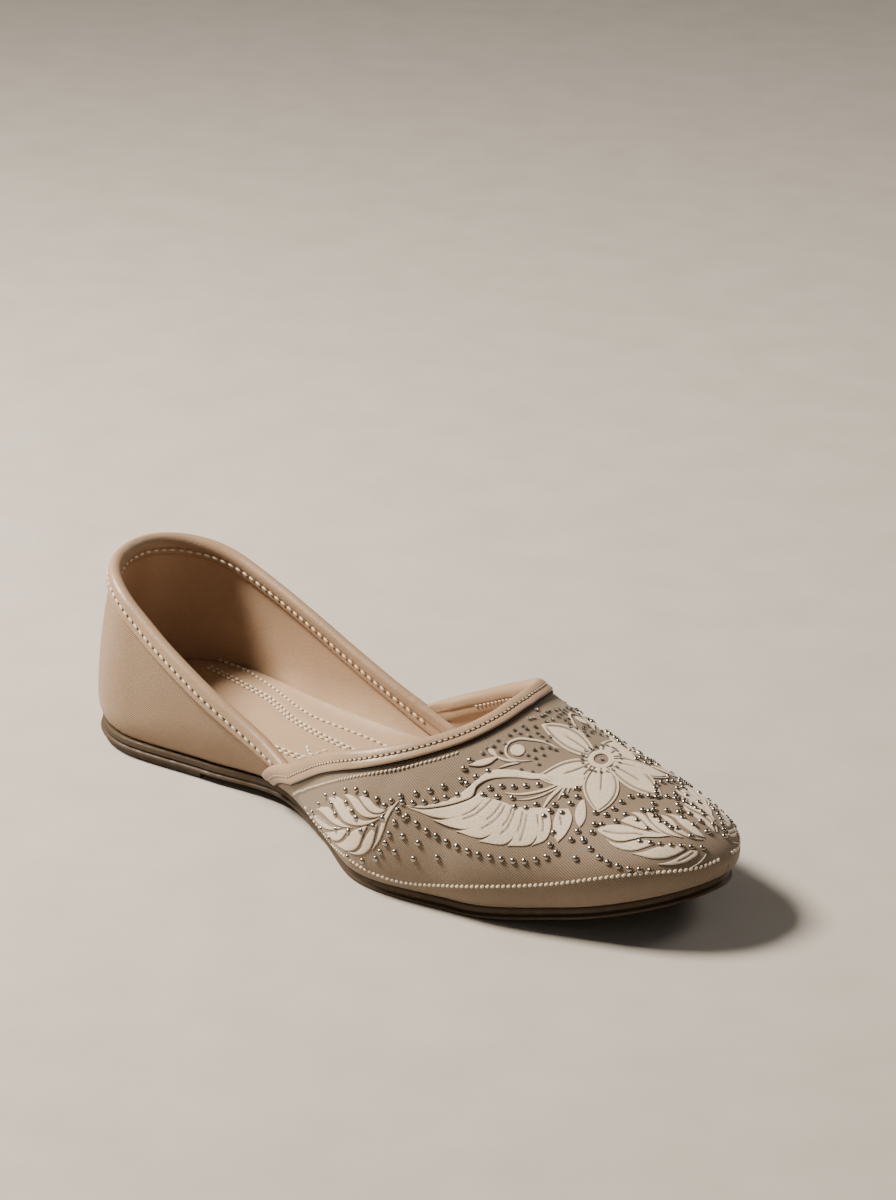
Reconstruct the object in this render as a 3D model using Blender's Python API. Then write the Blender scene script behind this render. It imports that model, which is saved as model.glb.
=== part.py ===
"""Mojari slip-on for the right foot: the solids of one shoe, in metres.

+X points to the toe, +Y to the inner side and +Z up. Every solid is cut from one surface, the
skin of the last, which is found from a table of sections along the foot. A point on it is named
by how far along the foot it lies (0 at the back of the heel, 1 at the tip of the toe), how far
around (-1 at the outer feather edge, 0 on the ridge over the foot, 1 at the inner feather edge)
and how far proud of the last it stands.
"""

import math

import bmesh
import bpy
import numpy as np

# Driving sizes of the last.
LENGTH = 0.2475
BALL_WIDTH = 0.0815
INSTEP_HEIGHT = 0.060
FEATHER_TUCK = 0.003
BELLY_HEIGHT = 0.009
HEEL_ROUND = 0.0315
HEEL_LEAN = 0.0086
LEAN_HEIGHT = 0.050
LEAN_REACH = 0.060
TOE_ROUND = 0.0645
TOE_POWER = 2.29
NOSE_ROUND = 0.014
TUCK_ANGLE = math.radians(35)
TUCK_SHARE = 0.15

# Sole and heel.
SOLE_THICKNESS = 0.0038
SOLE_MARGIN = 0.0022
HEEL_LIFT = 0.0022
HEEL_BREAST = 0.060
HEEL_INSET = 0.0012
HEEL_BEVEL = 0.0004
ARCH_RISE = 0.0008
TOE_SPRING = 0.0118

# Upper: the quarter lies on the last, and the vamp laps over it.
QUARTER_WALL = 0.0016
VAMP_PROUD = 0.0015
VAMP_WALL = 0.0023
COLLAR_HEIGHT = 0.0590
QUARTER_REACH = 0.125

# Rolled edges, and the strip below each roll.
CLEARANCE = 0.0003
ROLL_HEIGHT = 0.0024
STRIP_THICKNESS = 0.0009
THROAT_SLANT = 1.9
THROAT_STRIP = 0.0036
COLLAR_STRIP = 0.0050
LINING_STRIP = 0.0050

# Insole.
INSOLE_THICKNESS = 0.0072
INSOLE_CLEARANCE = 0.0006
INSOLE_LENGTH = 0.226
INSOLE_TOE_ROUND = 0.040
INSOLE_EDGE = 0.0010

# Sections of the last, from heel to toe: where the section is, as a share of LENGTH; its outer
# and inner half width, as shares of BALL_WIDTH; its ridge height, of INSTEP_HEIGHT; how far the
# feather edge tucks in on each side, of FEATHER_TUCK; the height of the widest line, of
# BELLY_HEIGHT; and the power of its curve, where 2 is an ellipse.
ALONG, OUTER, INNER, RIDGE, OUTER_TUCK, INNER_TUCK, BELLY, POWER = range(8)
SECTIONS = (
    (0.00, 0.383, 0.344, 1.630, 0.8, 0.8, 0.9, 1.91),
    (0.12, 0.383, 0.344, 1.630, 0.8, 0.8, 1.0, 1.91),
    (0.25, 0.380, 0.325, 1.620, 1.7, 2.2, 1.7, 2.05),
    (0.38, 0.378, 0.322, 1.550, 2.0, 2.7, 1.7, 2.10),
    (0.49, 0.487, 0.352, 1.350, 1.2, 2.0, 1.2, 2.15),
    (0.60, 0.630, 0.376, 1.000, 0.7, 1.5, 1.0, 2.05),
    (0.74, 0.587, 0.382, 0.725, 1.2, 1.2, 0.9, 2.05),
    (0.88, 0.505, 0.370, 0.550, 1.0, 1.0, 0.8, 2.08),
    (1.00, 0.505, 0.350, 0.430, 1.0, 1.0, 0.6, 2.08),
)

# The sole's underside: its height, as shares of HEEL_LIFT, ARCH_RISE and TOE_SPRING, and how far
# its edge stands out, of SOLE_MARGIN. It lies flat on the floor from the fifth row to the sixth.
LIFT, RISE, SPRING, EDGE = range(1, 5)
UNDERSIDE = (
    (0.00, 1.0, 0.0, 0.00, 1.00),
    (0.25, 1.0, 0.0, 0.00, 1.00),
    (0.38, 1.0, 1.0, 0.00, 0.60),
    (0.50, 0.5, 0.7, 0.00, 0.20),
    (0.60, 0.0, 0.0, 0.00, 0.30),
    (0.74, 0.0, 0.0, 0.00, 1.00),
    (0.87, 0.0, 0.0, 0.37, 1.00),
    (1.00, 0.0, 0.0, 1.00, 1.00),
)

# The collar line from the back of the heel to the front end of the quarter: its height on the
# outer and the inner side, as shares of COLLAR_HEIGHT.
OUTER_HEIGHT, INNER_HEIGHT = range(1, 3)
COLLAR = (
    (0.00, 1.000, 1.000),
    (0.08, 0.920, 0.920),
    (0.20, 0.685, 0.745),
    (0.32, 0.443, 0.535),
    (0.45, 0.235, 0.305),
    (0.51, 0.160, 0.205),
)

# The throat line: how far around, and there how far along as a share of LENGTH.
AROUND, OUTER_THROAT, INNER_THROAT = range(3)
THROAT = (
    (0.00, 0.688, 0.688),
    (0.14, 0.690, 0.679),
    (0.28, 0.677, 0.662),
    (0.43, 0.640, 0.633),
    (0.60, 0.573, 0.581),
    (0.75, 0.502, 0.514),
    (0.85, 0.441, 0.444),
    (0.93, 0.386, 0.386),
    (1.00, 0.357, 0.357),
)

# Side of the sole, from its top edge to its bottom edge: how far out, as a share of SOLE_MARGIN,
# and how far down, as a share of SOLE_THICKNESS. A groove parts the wall from the lip.
SOLE_SIDE = (
    (0.45, 0.00),
    (0.66, 0.08),
    (0.72, 0.50),
    (0.50, 0.56),
    (0.54, 0.66),
    (0.96, 0.72),
    (1.00, 0.90),
    (0.82, 1.00),
)

# Thickness of the padded insole from heel to toe, as shares of INSOLE_THICKNESS.
PADDING = 1
INSOLE = (
    (0.00, 1.00),
    (0.20, 1.00),
    (0.38, 0.80),
    (0.55, 0.62),
    (1.00, 0.58),
)

COLLECTION = "mojari_shoe"
WELD = 1e-6
STEP = 1e-4


def smooth(table, column, at):
    """Values of one column of a table, by a smooth cubic that keeps its level stretches level."""
    xs = np.array([row[0] for row in table])
    ys = np.array([row[column] for row in table])
    gaps = np.diff(xs)
    slopes = np.diff(ys) / gaps
    inner = np.zeros(len(xs))
    for i in range(1, len(xs) - 1):
        if slopes[i - 1] * slopes[i] != 0:
            ahead = slopes[i - 1] * gaps[i] + slopes[i] * gaps[i - 1]
            inner[i] = ahead / (gaps[i - 1] + gaps[i])
    inner[0] = slopes[0]
    inner[-1] = slopes[-1]
    at = np.clip(at, xs[0], xs[-1])
    i = np.clip(np.searchsorted(xs, at) - 1, 0, len(xs) - 2)
    t = (at - xs[i]) / gaps[i]
    rise = (2 * t**3 - 3 * t**2 + 1) * ys[i] + (3 * t**2 - 2 * t**3) * ys[i + 1]
    bend = (t**3 - 2 * t**2 + t) * inner[i] + (t**3 - t**2) * inner[i + 1]
    return rise + bend * gaps[i]


def share_at(along):
    """Share of LENGTH at a place along the skin; the places lie closer together at both ends."""
    return (1 - np.cos(np.pi * along)) / 2


def along_at(share):
    """Place along the skin at a share of LENGTH."""
    return np.arccos(np.clip(1 - 2 * np.asarray(share, float), -1, 1)) / np.pi


def end_round(share):
    """How wide the last still is where its heel and toe round off, from 0 to 1."""
    back = np.clip(1 - share * LENGTH / HEEL_ROUND, 0, 1)
    front = np.clip(1 - (1 - share) * LENGTH / TOE_ROUND, 0, 1)
    return np.sqrt((1 - back**2) * (1 - front**TOE_POWER))


def underside(share):
    """Height of the sole's underside above the floor."""
    lift = HEEL_LIFT * smooth(UNDERSIDE, LIFT, share)
    rise = ARCH_RISE * smooth(UNDERSIDE, RISE, share)
    return lift + rise + TOE_SPRING * smooth(UNDERSIDE, SPRING, share)


def feather(share):
    """Height of the upper's lower edge, just clear of the sole."""
    return underside(share) + SOLE_THICKNESS + CLEARANCE


def ridge(share):
    """Height of the ridge over the foot."""
    return INSTEP_HEIGHT * smooth(SECTIONS, RIDGE, share)


def belly(share, top):
    """Height of the widest line above the feather edge."""
    return np.minimum(BELLY_HEIGHT * smooth(SECTIONS, BELLY, share), 0.4 * (top - feather(share)))


def skin(along, around, proud):
    """Points of the last's skin, as an array with a last axis of 3."""
    along, around, proud = np.broadcast_arrays(along, around, proud)
    side = np.where(along < 0, -around, around)
    along = np.abs(along)
    side = np.where(along > 1, -side, side)
    along = np.where(along > 1, 2 - along, along)
    outer = side < 0
    climb = 1 - np.abs(side)
    share = share_at(along)
    ends = end_round(share)
    wide = BALL_WIDTH * np.where(outer, smooth(SECTIONS, OUTER, share), smooth(SECTIONS, INNER, share))
    wide = (wide + proud) * ends
    tucks = np.where(outer, smooth(SECTIONS, OUTER_TUCK, share), smooth(SECTIONS, INNER_TUCK, share))
    tuck = FEATHER_TUCK * tucks * ends
    low = feather(share)
    top = ridge(share) + proud
    waist = belly(share, top)
    bluff = np.clip(1 - (1 - share) * LENGTH / NOSE_ROUND, 0, 1)
    closing = (top - low - waist) * np.sqrt(1 - bluff**2)

    # Below the belly the wall is an arc that tucks in; above it a power curve closes over.
    arc = TUCK_ANGLE + np.clip(climb / TUCK_SHARE, 0, 1) * (np.pi / 2 - TUCK_ANGLE)
    inset = tuck * (1 - np.sin(arc)) / (1 - math.sin(TUCK_ANGLE))
    lift = waist * (1 - np.cos(arc) / math.cos(TUCK_ANGLE))
    turn = np.clip((climb - TUCK_SHARE) / (1 - TUCK_SHARE), 0, 1) * np.pi / 2
    power = 2 / smooth(SECTIONS, POWER, share)
    over = wide * np.clip(np.cos(turn), 0, 1) ** power
    rise = waist + closing * np.clip(np.sin(turn), 0, 1) ** power
    below = climb < TUCK_SHARE
    out = np.where(below, wide - inset, over)
    height = low + np.where(below, lift, rise)

    # The heel leans forwards as it rises, and heel and nose both tuck in below the belly.
    under = np.clip(1 - (height - low) / waist, 0, 1)
    tuck_back = FEATHER_TUCK * (1 - np.sqrt(1 - under**2))
    near_heel = np.clip(1 - share * LENGTH / LEAN_REACH, 0, 1) ** 2
    leaning = HEEL_LEAN * (np.clip(height - low - waist, 0, None) / LEAN_HEIGHT) ** 1.5
    near_toe = np.clip(1 - (1 - share) * LENGTH / TOE_ROUND, 0, 1) ** 2
    x = share * (LENGTH + 2 * proud) - proud
    x = x + near_heel * (leaning + tuck_back) - near_toe * tuck_back
    return np.stack([x, np.sign(side) * out, height], axis=-1)


def around_at(share, height):
    """How far around the skin lies at a height, as a positive number."""
    low = feather(share)
    top = ridge(share)
    waist = belly(share, top)
    power = smooth(SECTIONS, POWER, share)
    above = np.clip((height - low - waist) / (top - low - waist), 0, 1)
    high = TUCK_SHARE + (1 - TUCK_SHARE) * np.arcsin(above ** (power / 2)) / (np.pi / 2)
    cosine = np.clip(1 - (height - low) / waist, 0, 1) * math.cos(TUCK_ANGLE)
    under = TUCK_SHARE * (np.arccos(cosine) - TUCK_ANGLE) / (np.pi / 2 - TUCK_ANGLE)
    return 1 - np.where(height < low + waist, under, high)


def collar_edge(run):
    """(along, around) on the collar line; the run is 1 at its outer front end and -1 at its inner."""
    along = run * along_at(QUARTER_REACH / LENGTH)
    share = share_at(np.abs(along))
    outer = smooth(COLLAR, OUTER_HEIGHT, share)
    inner = smooth(COLLAR, INNER_HEIGHT, share)
    return along, -around_at(share, COLLAR_HEIGHT * np.where(run < 0, inner, outer))


def throat_along(around):
    """Place along the skin of the throat line."""
    outer = smooth(THROAT, OUTER_THROAT, np.abs(around))
    inner = smooth(THROAT, INNER_THROAT, np.abs(around))
    return along_at(np.where(around < 0, outer, inner))


def throat_edge(run):
    """(along, around) on the throat line; the run is -1 at the outer end and 1 at the inner."""
    return throat_along(run), run


def beside(edge, run, down):
    """(along, around) of the point that lies `down` metres beside an edge, over the skin."""
    along, around = edge(run)

    def slope(move):
        ahead = skin(along + move[0], around + move[1], 0.0)
        behind = skin(along - move[0], around - move[1], 0.0)
        return (ahead - behind) / (2 * STEP)

    lengthwise = slope((STEP, 0.0))
    crosswise = slope((0.0, STEP))
    ahead = edge(run + STEP)
    behind = edge(run - STEP)
    tangent = skin(ahead[0], ahead[1], 0.0) - skin(behind[0], behind[1], 0.0)
    across = np.cross(tangent, np.cross(lengthwise, crosswise))
    across = across / np.linalg.norm(across, axis=-1, keepdims=True)
    e = (lengthwise**2).sum(-1)
    f = (lengthwise * crosswise).sum(-1)
    g = (crosswise**2).sum(-1)
    p = (lengthwise * across).sum(-1)
    q = (crosswise * across).sum(-1)
    scale = down / (e * g - f * f)
    return along + (g * p - f * q) * scale, around + (e * q - f * p) * scale


def run_to(edge, down, end, limit):
    """The run, from the middle towards `end`, at which a line beside an edge reaches a limit."""
    runs = np.linspace(0.6 * end, end, 81)
    left = limit(*beside(edge, runs, down))
    order = np.argsort(left)
    return float(np.interp(0.0, left[order], runs[order]))


def above_sole(along, around):
    """Share around that is left above the sole's top, less the clearance."""
    return 1 - 0.03 - np.abs(around)


def behind_throat(along, around):
    """Length that is left behind the throat's roll, in metres."""
    around = np.where(along < 0, -around, around)
    line = share_at(throat_along(around)) - share_at(np.abs(along))
    return line * LENGTH - THROAT_SLANT * (ROLL_HEIGHT + 2 * CLEARANCE)


def linked(name, mesh, color, roughness):
    """The mesh as an object of the shoe's collection, with its own material."""
    material = bpy.data.materials.new(name)
    material.use_nodes = True
    shader = material.node_tree.nodes["Principled BSDF"]
    shader.inputs["Base Color"].default_value = (*color, 1.0)
    shader.inputs["Roughness"].default_value = roughness
    shader.inputs["Metallic"].default_value = 0.0
    mesh.materials.append(material)
    thing = bpy.data.objects.new(name, mesh)
    bpy.data.collections[COLLECTION].objects.link(thing)
    return thing


def solid(name, points, faces, color, roughness=0.7):
    """A closed mesh object from an array of points and lists of their places."""
    mesh = bpy.data.meshes.new(name)
    mesh.from_pydata(points.reshape(-1, 3).tolist(), [], faces)
    build = bmesh.new()
    build.from_mesh(mesh)
    bmesh.ops.remove_doubles(build, verts=build.verts, dist=WELD)
    bmesh.ops.dissolve_degenerate(build, edges=build.edges, dist=WELD)
    bmesh.ops.recalc_face_normals(build, faces=build.faces)
    bmesh.ops.triangulate(build, faces=build.faces, quad_method="SHORT_EDGE", ngon_method="EAR_CLIP")
    build.to_mesh(mesh)
    build.free()
    return linked(name, mesh, color, roughness)


def strip(first, second):
    """Quads between two rows of places."""
    return [[a, b, d, c] for a, b, c, d in zip(first, first[1:], second, second[1:])]


def shell(name, outside, inside, color, last_column):
    """A wall between two grids of the same size, closed along the rim."""
    rows, columns = outside.shape[:2]
    places = np.arange(2 * rows * columns).reshape(2, rows, columns).tolist()
    faces = []
    for layer in places:
        for near, far in zip(layer, layer[1:]):
            faces += strip(near, far)
    outer, inner = places
    faces += strip(outer[0], inner[0])
    faces += strip(outer[-1], inner[-1])
    faces += strip([row[0] for row in outer], [row[0] for row in inner])
    if last_column:
        faces += strip([row[-1] for row in outer], [row[-1] for row in inner])
    return solid(name, np.stack([outside, inside]), faces, color)


def sweep(name, edge, profile, limit, stations, color):
    """A strip with one section all along an edge; each of its lines runs to the limit itself."""
    down = np.array([point[0] for point in profile])
    proud = np.array([point[1] for point in profile])
    firsts = [run_to(edge, d, -1.0, limit) for d in down]
    lasts = [run_to(edge, d, 1.0, limit) for d in down]
    runs = np.linspace(firsts, lasts, stations)
    along, around = beside(edge, runs, down)
    points = skin(along, around, np.broadcast_to(proud, along.shape))
    places = np.arange(points.size // 3).reshape(stations, len(profile))
    rings = [row.tolist() + [int(row[0])] for row in places]
    faces = [places[0].tolist(), places[-1].tolist()]
    for near, far in zip(rings, rings[1:]):
        faces += strip(near, far)
    return solid(name, points, faces, color, 0.55)


def roll_profile(inside, outside, strip_length, lining_length):
    """Section of a folded edge, as (down, proud): a roll over the wall, a strip down each side."""
    middle = (inside + outside) / 2
    half = (outside - inside) / 2
    points = [(strip_length, outside - STRIP_THICKNESS * 0.75), (strip_length, outside)]
    points.append((ROLL_HEIGHT * 0.30, outside - STRIP_THICKNESS * 0.25))
    for turn in np.linspace(0.0, 1.0, 6):
        angle = math.pi * turn
        points.append((-ROLL_HEIGHT * math.sin(angle) - CLEARANCE, middle + half * math.cos(angle)))
    if lining_length:
        points.append((lining_length, inside))
        points.append((lining_length, inside + STRIP_THICKNESS * 0.75))
        points.append((-CLEARANCE, inside + STRIP_THICKNESS * 0.75))
    points.append((-CLEARANCE, outside - STRIP_THICKNESS))
    return points


def outline(shares, out):
    """The feather line and its outward shift in plan, outer side then inner, both from the heel."""
    along = along_at(shares)
    lines = []
    for side in (-1.0, 1.0):
        here = skin(along, side, 0.0)
        ahead = skin(along + STEP, side, 0.0) - skin(along - STEP, side, 0.0)
        across = np.stack([-side * ahead[:, 1], side * ahead[:, 0]], axis=-1)
        across /= np.linalg.norm(across, axis=-1, keepdims=True)
        here[:, :2] += across * np.reshape(out, (-1, 1))
        lines.append(here)
    return lines


def slab(name, levels, color, roughness):
    """A plate from pairs of outer and inner side lines, one pair to a level."""
    count = len(levels[0][0])
    points = np.array([np.concatenate([outer, inner[::-1]]) for outer, inner in levels])
    places = np.arange(len(levels) * 2 * count).reshape(len(levels), 2 * count).tolist()
    faces = []
    for upper, lower in zip(places, places[1:]):
        faces += strip(upper + upper[:1], lower + lower[:1])
    for ring in (places[0], places[-1]):
        faces += strip(ring[:count], ring[: count - 1 : -1])
    return solid(name, points, faces, color, roughness)


def make_sole():
    shares = share_at(np.linspace(0, 1, 44))
    levels = []
    for out, down in SOLE_SIDE:
        pair = outline(shares, SOLE_MARGIN * smooth(UNDERSIDE, EDGE, shares) * out)
        for line in pair:
            line[:, 2] = underside(shares) + SOLE_THICKNESS * (1 - down)
        levels.append(pair)
    return slab("outsole", levels, (0.20, 0.15, 0.08), 0.6)


def make_heel():
    shares = share_at(np.linspace(0, along_at(HEEL_BREAST / LENGTH), 16))
    top = HEEL_LIFT - CLEARANCE
    levels = []
    for inset, height in ((0.0, top), (0.0, HEEL_BEVEL), (HEEL_BEVEL, 0.0)):
        pair = outline(shares, SOLE_MARGIN - HEEL_INSET - inset)
        for line in pair:
            line[:, 2] = height
        levels.append(pair)
    return slab("heel", levels, (0.16, 0.12, 0.07), 0.65)


def make_insole():
    reach = along_at(INSOLE_LENGTH / LENGTH)
    along = np.linspace(0, reach, 34)
    shares = share_at(along)
    front = np.clip(1 - (INSOLE_LENGTH - shares * LENGTH) / INSOLE_TOE_ROUND, 0, 1)
    narrow = np.sqrt(1 - front**2.2)
    levels = []
    padding = INSOLE_THICKNESS * smooth(INSOLE, PADDING, shares)
    for lift, inset in ((0.0, 0.0), (0.5, 0.0), (0.9, 0.0), (1.0, INSOLE_EDGE)):
        rise = CLEARANCE + lift * padding
        pair = []
        for side in (-1.0, 1.0):
            around = side * around_at(shares, feather(shares) + rise)
            line = skin(along, around, -QUARTER_WALL - INSOLE_CLEARANCE - inset)
            line[:, 1] *= narrow
            line[:, 2] = feather(shares) + rise
            pair.append(line)
        levels.append(pair)
    return slab("insole", levels, (0.45, 0.34, 0.26), 0.6)


def make_upper():
    """Quarter and vamp as one hollow solid: two walls that lap, joined where they overlap."""
    run = np.linspace(-1.0, 1.0, 46)
    along, edge = collar_edge(run)
    rise = np.linspace(0.0, 1.0, 12)
    around = -1.0 + (edge[:, None] + 1.0) * rise
    outside = skin(along[:, None], around, 0.0)
    inside = skin(along[:, None], around, -QUARTER_WALL)
    beige = (0.42, 0.33, 0.25)
    quarter = shell("quarter_wall", outside, inside, beige, last_column=True)

    around = np.linspace(-1.0, 1.0, 45)[:, None]
    start = throat_along(around)
    along = start + (1.0 - start) * np.linspace(0.0, 1.0, 25)
    outside = skin(along, around, VAMP_PROUD)
    inside = skin(along, around, VAMP_PROUD - VAMP_WALL)
    upper = shell("upper", outside, inside, beige, last_column=False)

    join = upper.modifiers.new("join_quarter", "BOOLEAN")
    join.operation = "UNION"
    join.solver = "EXACT"
    join.object = quarter
    bpy.context.view_layer.update()
    graph = bpy.context.evaluated_depsgraph_get()
    joined = bpy.data.meshes.new_from_object(upper.evaluated_get(graph))
    upper.modifiers.clear()
    upper.data = joined
    bpy.data.objects.remove(quarter, do_unlink=True)
    return upper


def make_throat_binding():
    inside = VAMP_PROUD - VAMP_WALL + 1.1e-3
    outside = VAMP_PROUD + CLEARANCE + STRIP_THICKNESS
    profile = roll_profile(inside, outside, THROAT_STRIP, 0.0)
    return sweep("throat_binding", throat_edge, profile, above_sole, 62, (0.45, 0.35, 0.27))


def make_collar_binding():
    inside = -QUARTER_WALL - CLEARANCE - STRIP_THICKNESS
    outside = CLEARANCE + STRIP_THICKNESS
    profile = roll_profile(inside, outside, COLLAR_STRIP, LINING_STRIP)
    return sweep("collar_binding", collar_edge, profile, behind_throat, 50, (0.46, 0.36, 0.28))


def centre(things):
    """Moves the shoe so that the middle of its box stands over the origin."""
    points = np.array([point.co[:] for thing in things for point in thing.data.vertices])
    middle = (points.min(axis=0) + points.max(axis=0)) / 2
    for thing in things:
        thing.location = (-middle[0], -middle[1], 0.0)


def main():
    for thing in list(bpy.data.objects):
        bpy.data.objects.remove(thing, do_unlink=True)
    collection = bpy.data.collections.new(COLLECTION)
    bpy.context.scene.collection.children.link(collection)
    make_sole()
    make_heel()
    make_insole()
    make_upper()
    make_throat_binding()
    make_collar_binding()
    centre(list(collection.objects))


main()
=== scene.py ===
"""The looks of a mojari for the right foot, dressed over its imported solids.

Every surface is taken from the last, the form that the shoe is made over: a point is named by how
far along the foot it lies, how far around, and how far proud of the last it stands. The ornament
is charted in the pixels of the photograph and cast onto the vamp. It mirrors over the ridge, so
only its outer half and the pieces on the ridge are charted. Lengths are in metres.
"""

from __future__ import annotations

import logging
import math
from dataclasses import dataclass
from enum import Enum
from typing import Callable, Sequence

import bmesh
import bpy
import numpy as np
from mathutils import Matrix, Vector

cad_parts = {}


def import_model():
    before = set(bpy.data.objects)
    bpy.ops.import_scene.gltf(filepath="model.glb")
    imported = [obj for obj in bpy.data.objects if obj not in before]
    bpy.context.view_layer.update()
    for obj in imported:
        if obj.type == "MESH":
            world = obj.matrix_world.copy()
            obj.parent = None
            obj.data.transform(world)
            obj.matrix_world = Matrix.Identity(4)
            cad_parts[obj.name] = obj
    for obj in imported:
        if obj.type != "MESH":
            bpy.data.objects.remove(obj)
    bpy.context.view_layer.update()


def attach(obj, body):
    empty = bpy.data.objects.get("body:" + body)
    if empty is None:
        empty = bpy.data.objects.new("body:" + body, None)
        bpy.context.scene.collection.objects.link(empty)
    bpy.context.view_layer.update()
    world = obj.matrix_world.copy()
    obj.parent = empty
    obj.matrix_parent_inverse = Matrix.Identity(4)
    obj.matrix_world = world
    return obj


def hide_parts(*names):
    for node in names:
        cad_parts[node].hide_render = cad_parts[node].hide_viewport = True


log = logging.getLogger("mojari")

Table = tuple[tuple[float, ...], ...]
Pixel = tuple[float, float]
Line = tuple[float, ...]
Array = np.ndarray
Colour = tuple[float, float, float]
Piece = bpy.types.Object
Material = bpy.types.Material
Socket = bpy.types.NodeSocket
Edge = Callable[[Array], tuple[Array, Array]]

BODY = "root"
WELD = 1e-6
STEP = 1e-4

# Angles in degrees up to which edges are shaded smooth.
ROUND_ANGLE = 80.0
WALL_ANGLE = 60.0
MOULDED_ANGLE = 50.0
LIFT_ANGLE = 40.0
CUT_ANGLE = 10.0

# A grain of thread: its segments and rings, and the power that blunts its ends.
GRAIN_SEGMENTS = 10
GRAIN_RINGS = 6
GRAIN_BLUNT = 0.85

# How far to each side a line of points is read for its direction, in points.
LOOK = 0.4

# Points over the skin and over the ridge that cloth is measured with.
ARC_POINTS = 25
RIDGE_POINTS = 600

# Sections of the last from heel to toe: place, outer and inner half width, ridge, outer and inner
# tuck of the feather edge, height of the widest line, and the power of the curve.
OUTER, INNER, RIDGE, OUTER_TUCK, INNER_TUCK, BELLY, POWER = range(1, 8)
SECTIONS = (
    (0.00, 0.383, 0.344, 1.630, 0.8, 0.8, 0.9, 1.91),
    (0.12, 0.383, 0.344, 1.630, 0.8, 0.8, 1.0, 1.91),
    (0.25, 0.380, 0.325, 1.620, 1.7, 2.2, 1.7, 2.05),
    (0.38, 0.378, 0.322, 1.550, 2.0, 2.7, 1.7, 2.10),
    (0.49, 0.487, 0.352, 1.350, 1.2, 2.0, 1.2, 2.15),
    (0.60, 0.630, 0.376, 1.000, 0.7, 1.5, 1.0, 2.05),
    (0.74, 0.587, 0.382, 0.725, 1.2, 1.2, 0.9, 2.05),
    (0.88, 0.505, 0.370, 0.550, 1.0, 1.0, 0.8, 2.08),
    (1.00, 0.505, 0.350, 0.430, 1.0, 1.0, 0.6, 2.08),
)

# Underside of the sole: place, heel lift, arch rise, toe spring, and how far its edge stands out.
LIFT, RISE, SPRING, EDGE = range(1, 5)
UNDERSIDE = (
    (0.00, 1.0, 0.0, 0.00, 1.00),
    (0.25, 1.0, 0.0, 0.00, 1.00),
    (0.38, 1.0, 1.0, 0.00, 0.60),
    (0.50, 0.5, 0.7, 0.00, 0.20),
    (0.60, 0.0, 0.0, 0.00, 0.30),
    (0.74, 0.0, 0.0, 0.00, 1.00),
    (0.87, 0.0, 0.0, 0.37, 1.00),
    (1.00, 0.0, 0.0, 1.00, 1.00),
)

# Collar line: place, height on the outer and on the inner side, as shares of the collar's height.
OUTER_HEIGHT, INNER_HEIGHT = range(1, 3)
COLLAR = (
    (0.00, 1.000, 1.000),
    (0.08, 0.920, 0.920),
    (0.20, 0.685, 0.745),
    (0.32, 0.443, 0.535),
    (0.45, 0.235, 0.305),
    (0.51, 0.160, 0.205),
)

# Throat line: how far around, and there how far along on the outer and on the inner side.
OUTER_THROAT, INNER_THROAT = range(1, 3)
THROAT = (
    (0.00, 0.688, 0.688),
    (0.14, 0.690, 0.679),
    (0.28, 0.677, 0.662),
    (0.43, 0.640, 0.633),
    (0.60, 0.573, 0.581),
    (0.75, 0.502, 0.514),
    (0.85, 0.441, 0.444),
    (0.93, 0.386, 0.386),
    (1.00, 0.357, 0.357),
)

# Thickness of the insole from heel to toe, as shares of its padding.
PADDING = 1
INSOLE = (
    (0.00, 1.00),
    (0.20, 1.00),
    (0.38, 0.80),
    (0.55, 0.62),
    (1.00, 0.58),
)

# Side of the sole: how far out, as a share of its margin, and how far down, of its thickness.
SOLE_SIDE = (
    (0.30, 0.00),
    (0.52, 0.01),
    (0.66, 0.08),
    (0.72, 0.25),
    (0.72, 0.48),
    (0.56, 0.54),
    (0.50, 0.60),
    (0.56, 0.66),
    (0.90, 0.70),
    (0.98, 0.76),
    (1.00, 0.86),
    (0.94, 0.95),
    (0.80, 1.00),
)


def smooth(table: Table, column: int, at: Array) -> Array:
    """Values of one column of a table.

    Args:
        table: Rows that start with a place.
        column: The column that is read.
        at: Places to read it at.

    Returns:
        The values, on a cubic that keeps level stretches level.
    """
    xs = np.array([row[0] for row in table])
    ys = np.array([row[column] for row in table])
    gaps = np.diff(xs)
    slopes = np.diff(ys) / gaps
    inner = np.zeros(len(xs))
    for i in range(1, len(xs) - 1):
        if slopes[i - 1] * slopes[i] != 0:
            ahead = slopes[i - 1] * gaps[i] + slopes[i] * gaps[i - 1]
            inner[i] = ahead / (gaps[i - 1] + gaps[i])
    inner[0] = slopes[0]
    inner[-1] = slopes[-1]
    at = np.clip(at, xs[0], xs[-1])
    i = np.clip(np.searchsorted(xs, at) - 1, 0, len(xs) - 2)
    t = (at - xs[i]) / gaps[i]
    rise = (2 * t**3 - 3 * t**2 + 1) * ys[i] + (3 * t**2 - 2 * t**3) * ys[i + 1]
    bend = (t**3 - 2 * t**2 + t) * inner[i] + (t**3 - t**2) * inner[i + 1]
    return rise + bend * gaps[i]


def bump(at: Array, centre: float, width: float) -> Array:
    """A soft hump of height 1, by distance from its centre."""
    return np.exp(-(((at - centre) / width) ** 2))


def unit(vectors: Array) -> Array:
    """The vectors at length 1."""
    return vectors / np.maximum(np.linalg.norm(vectors, axis=-1, keepdims=True), 1e-12)


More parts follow.
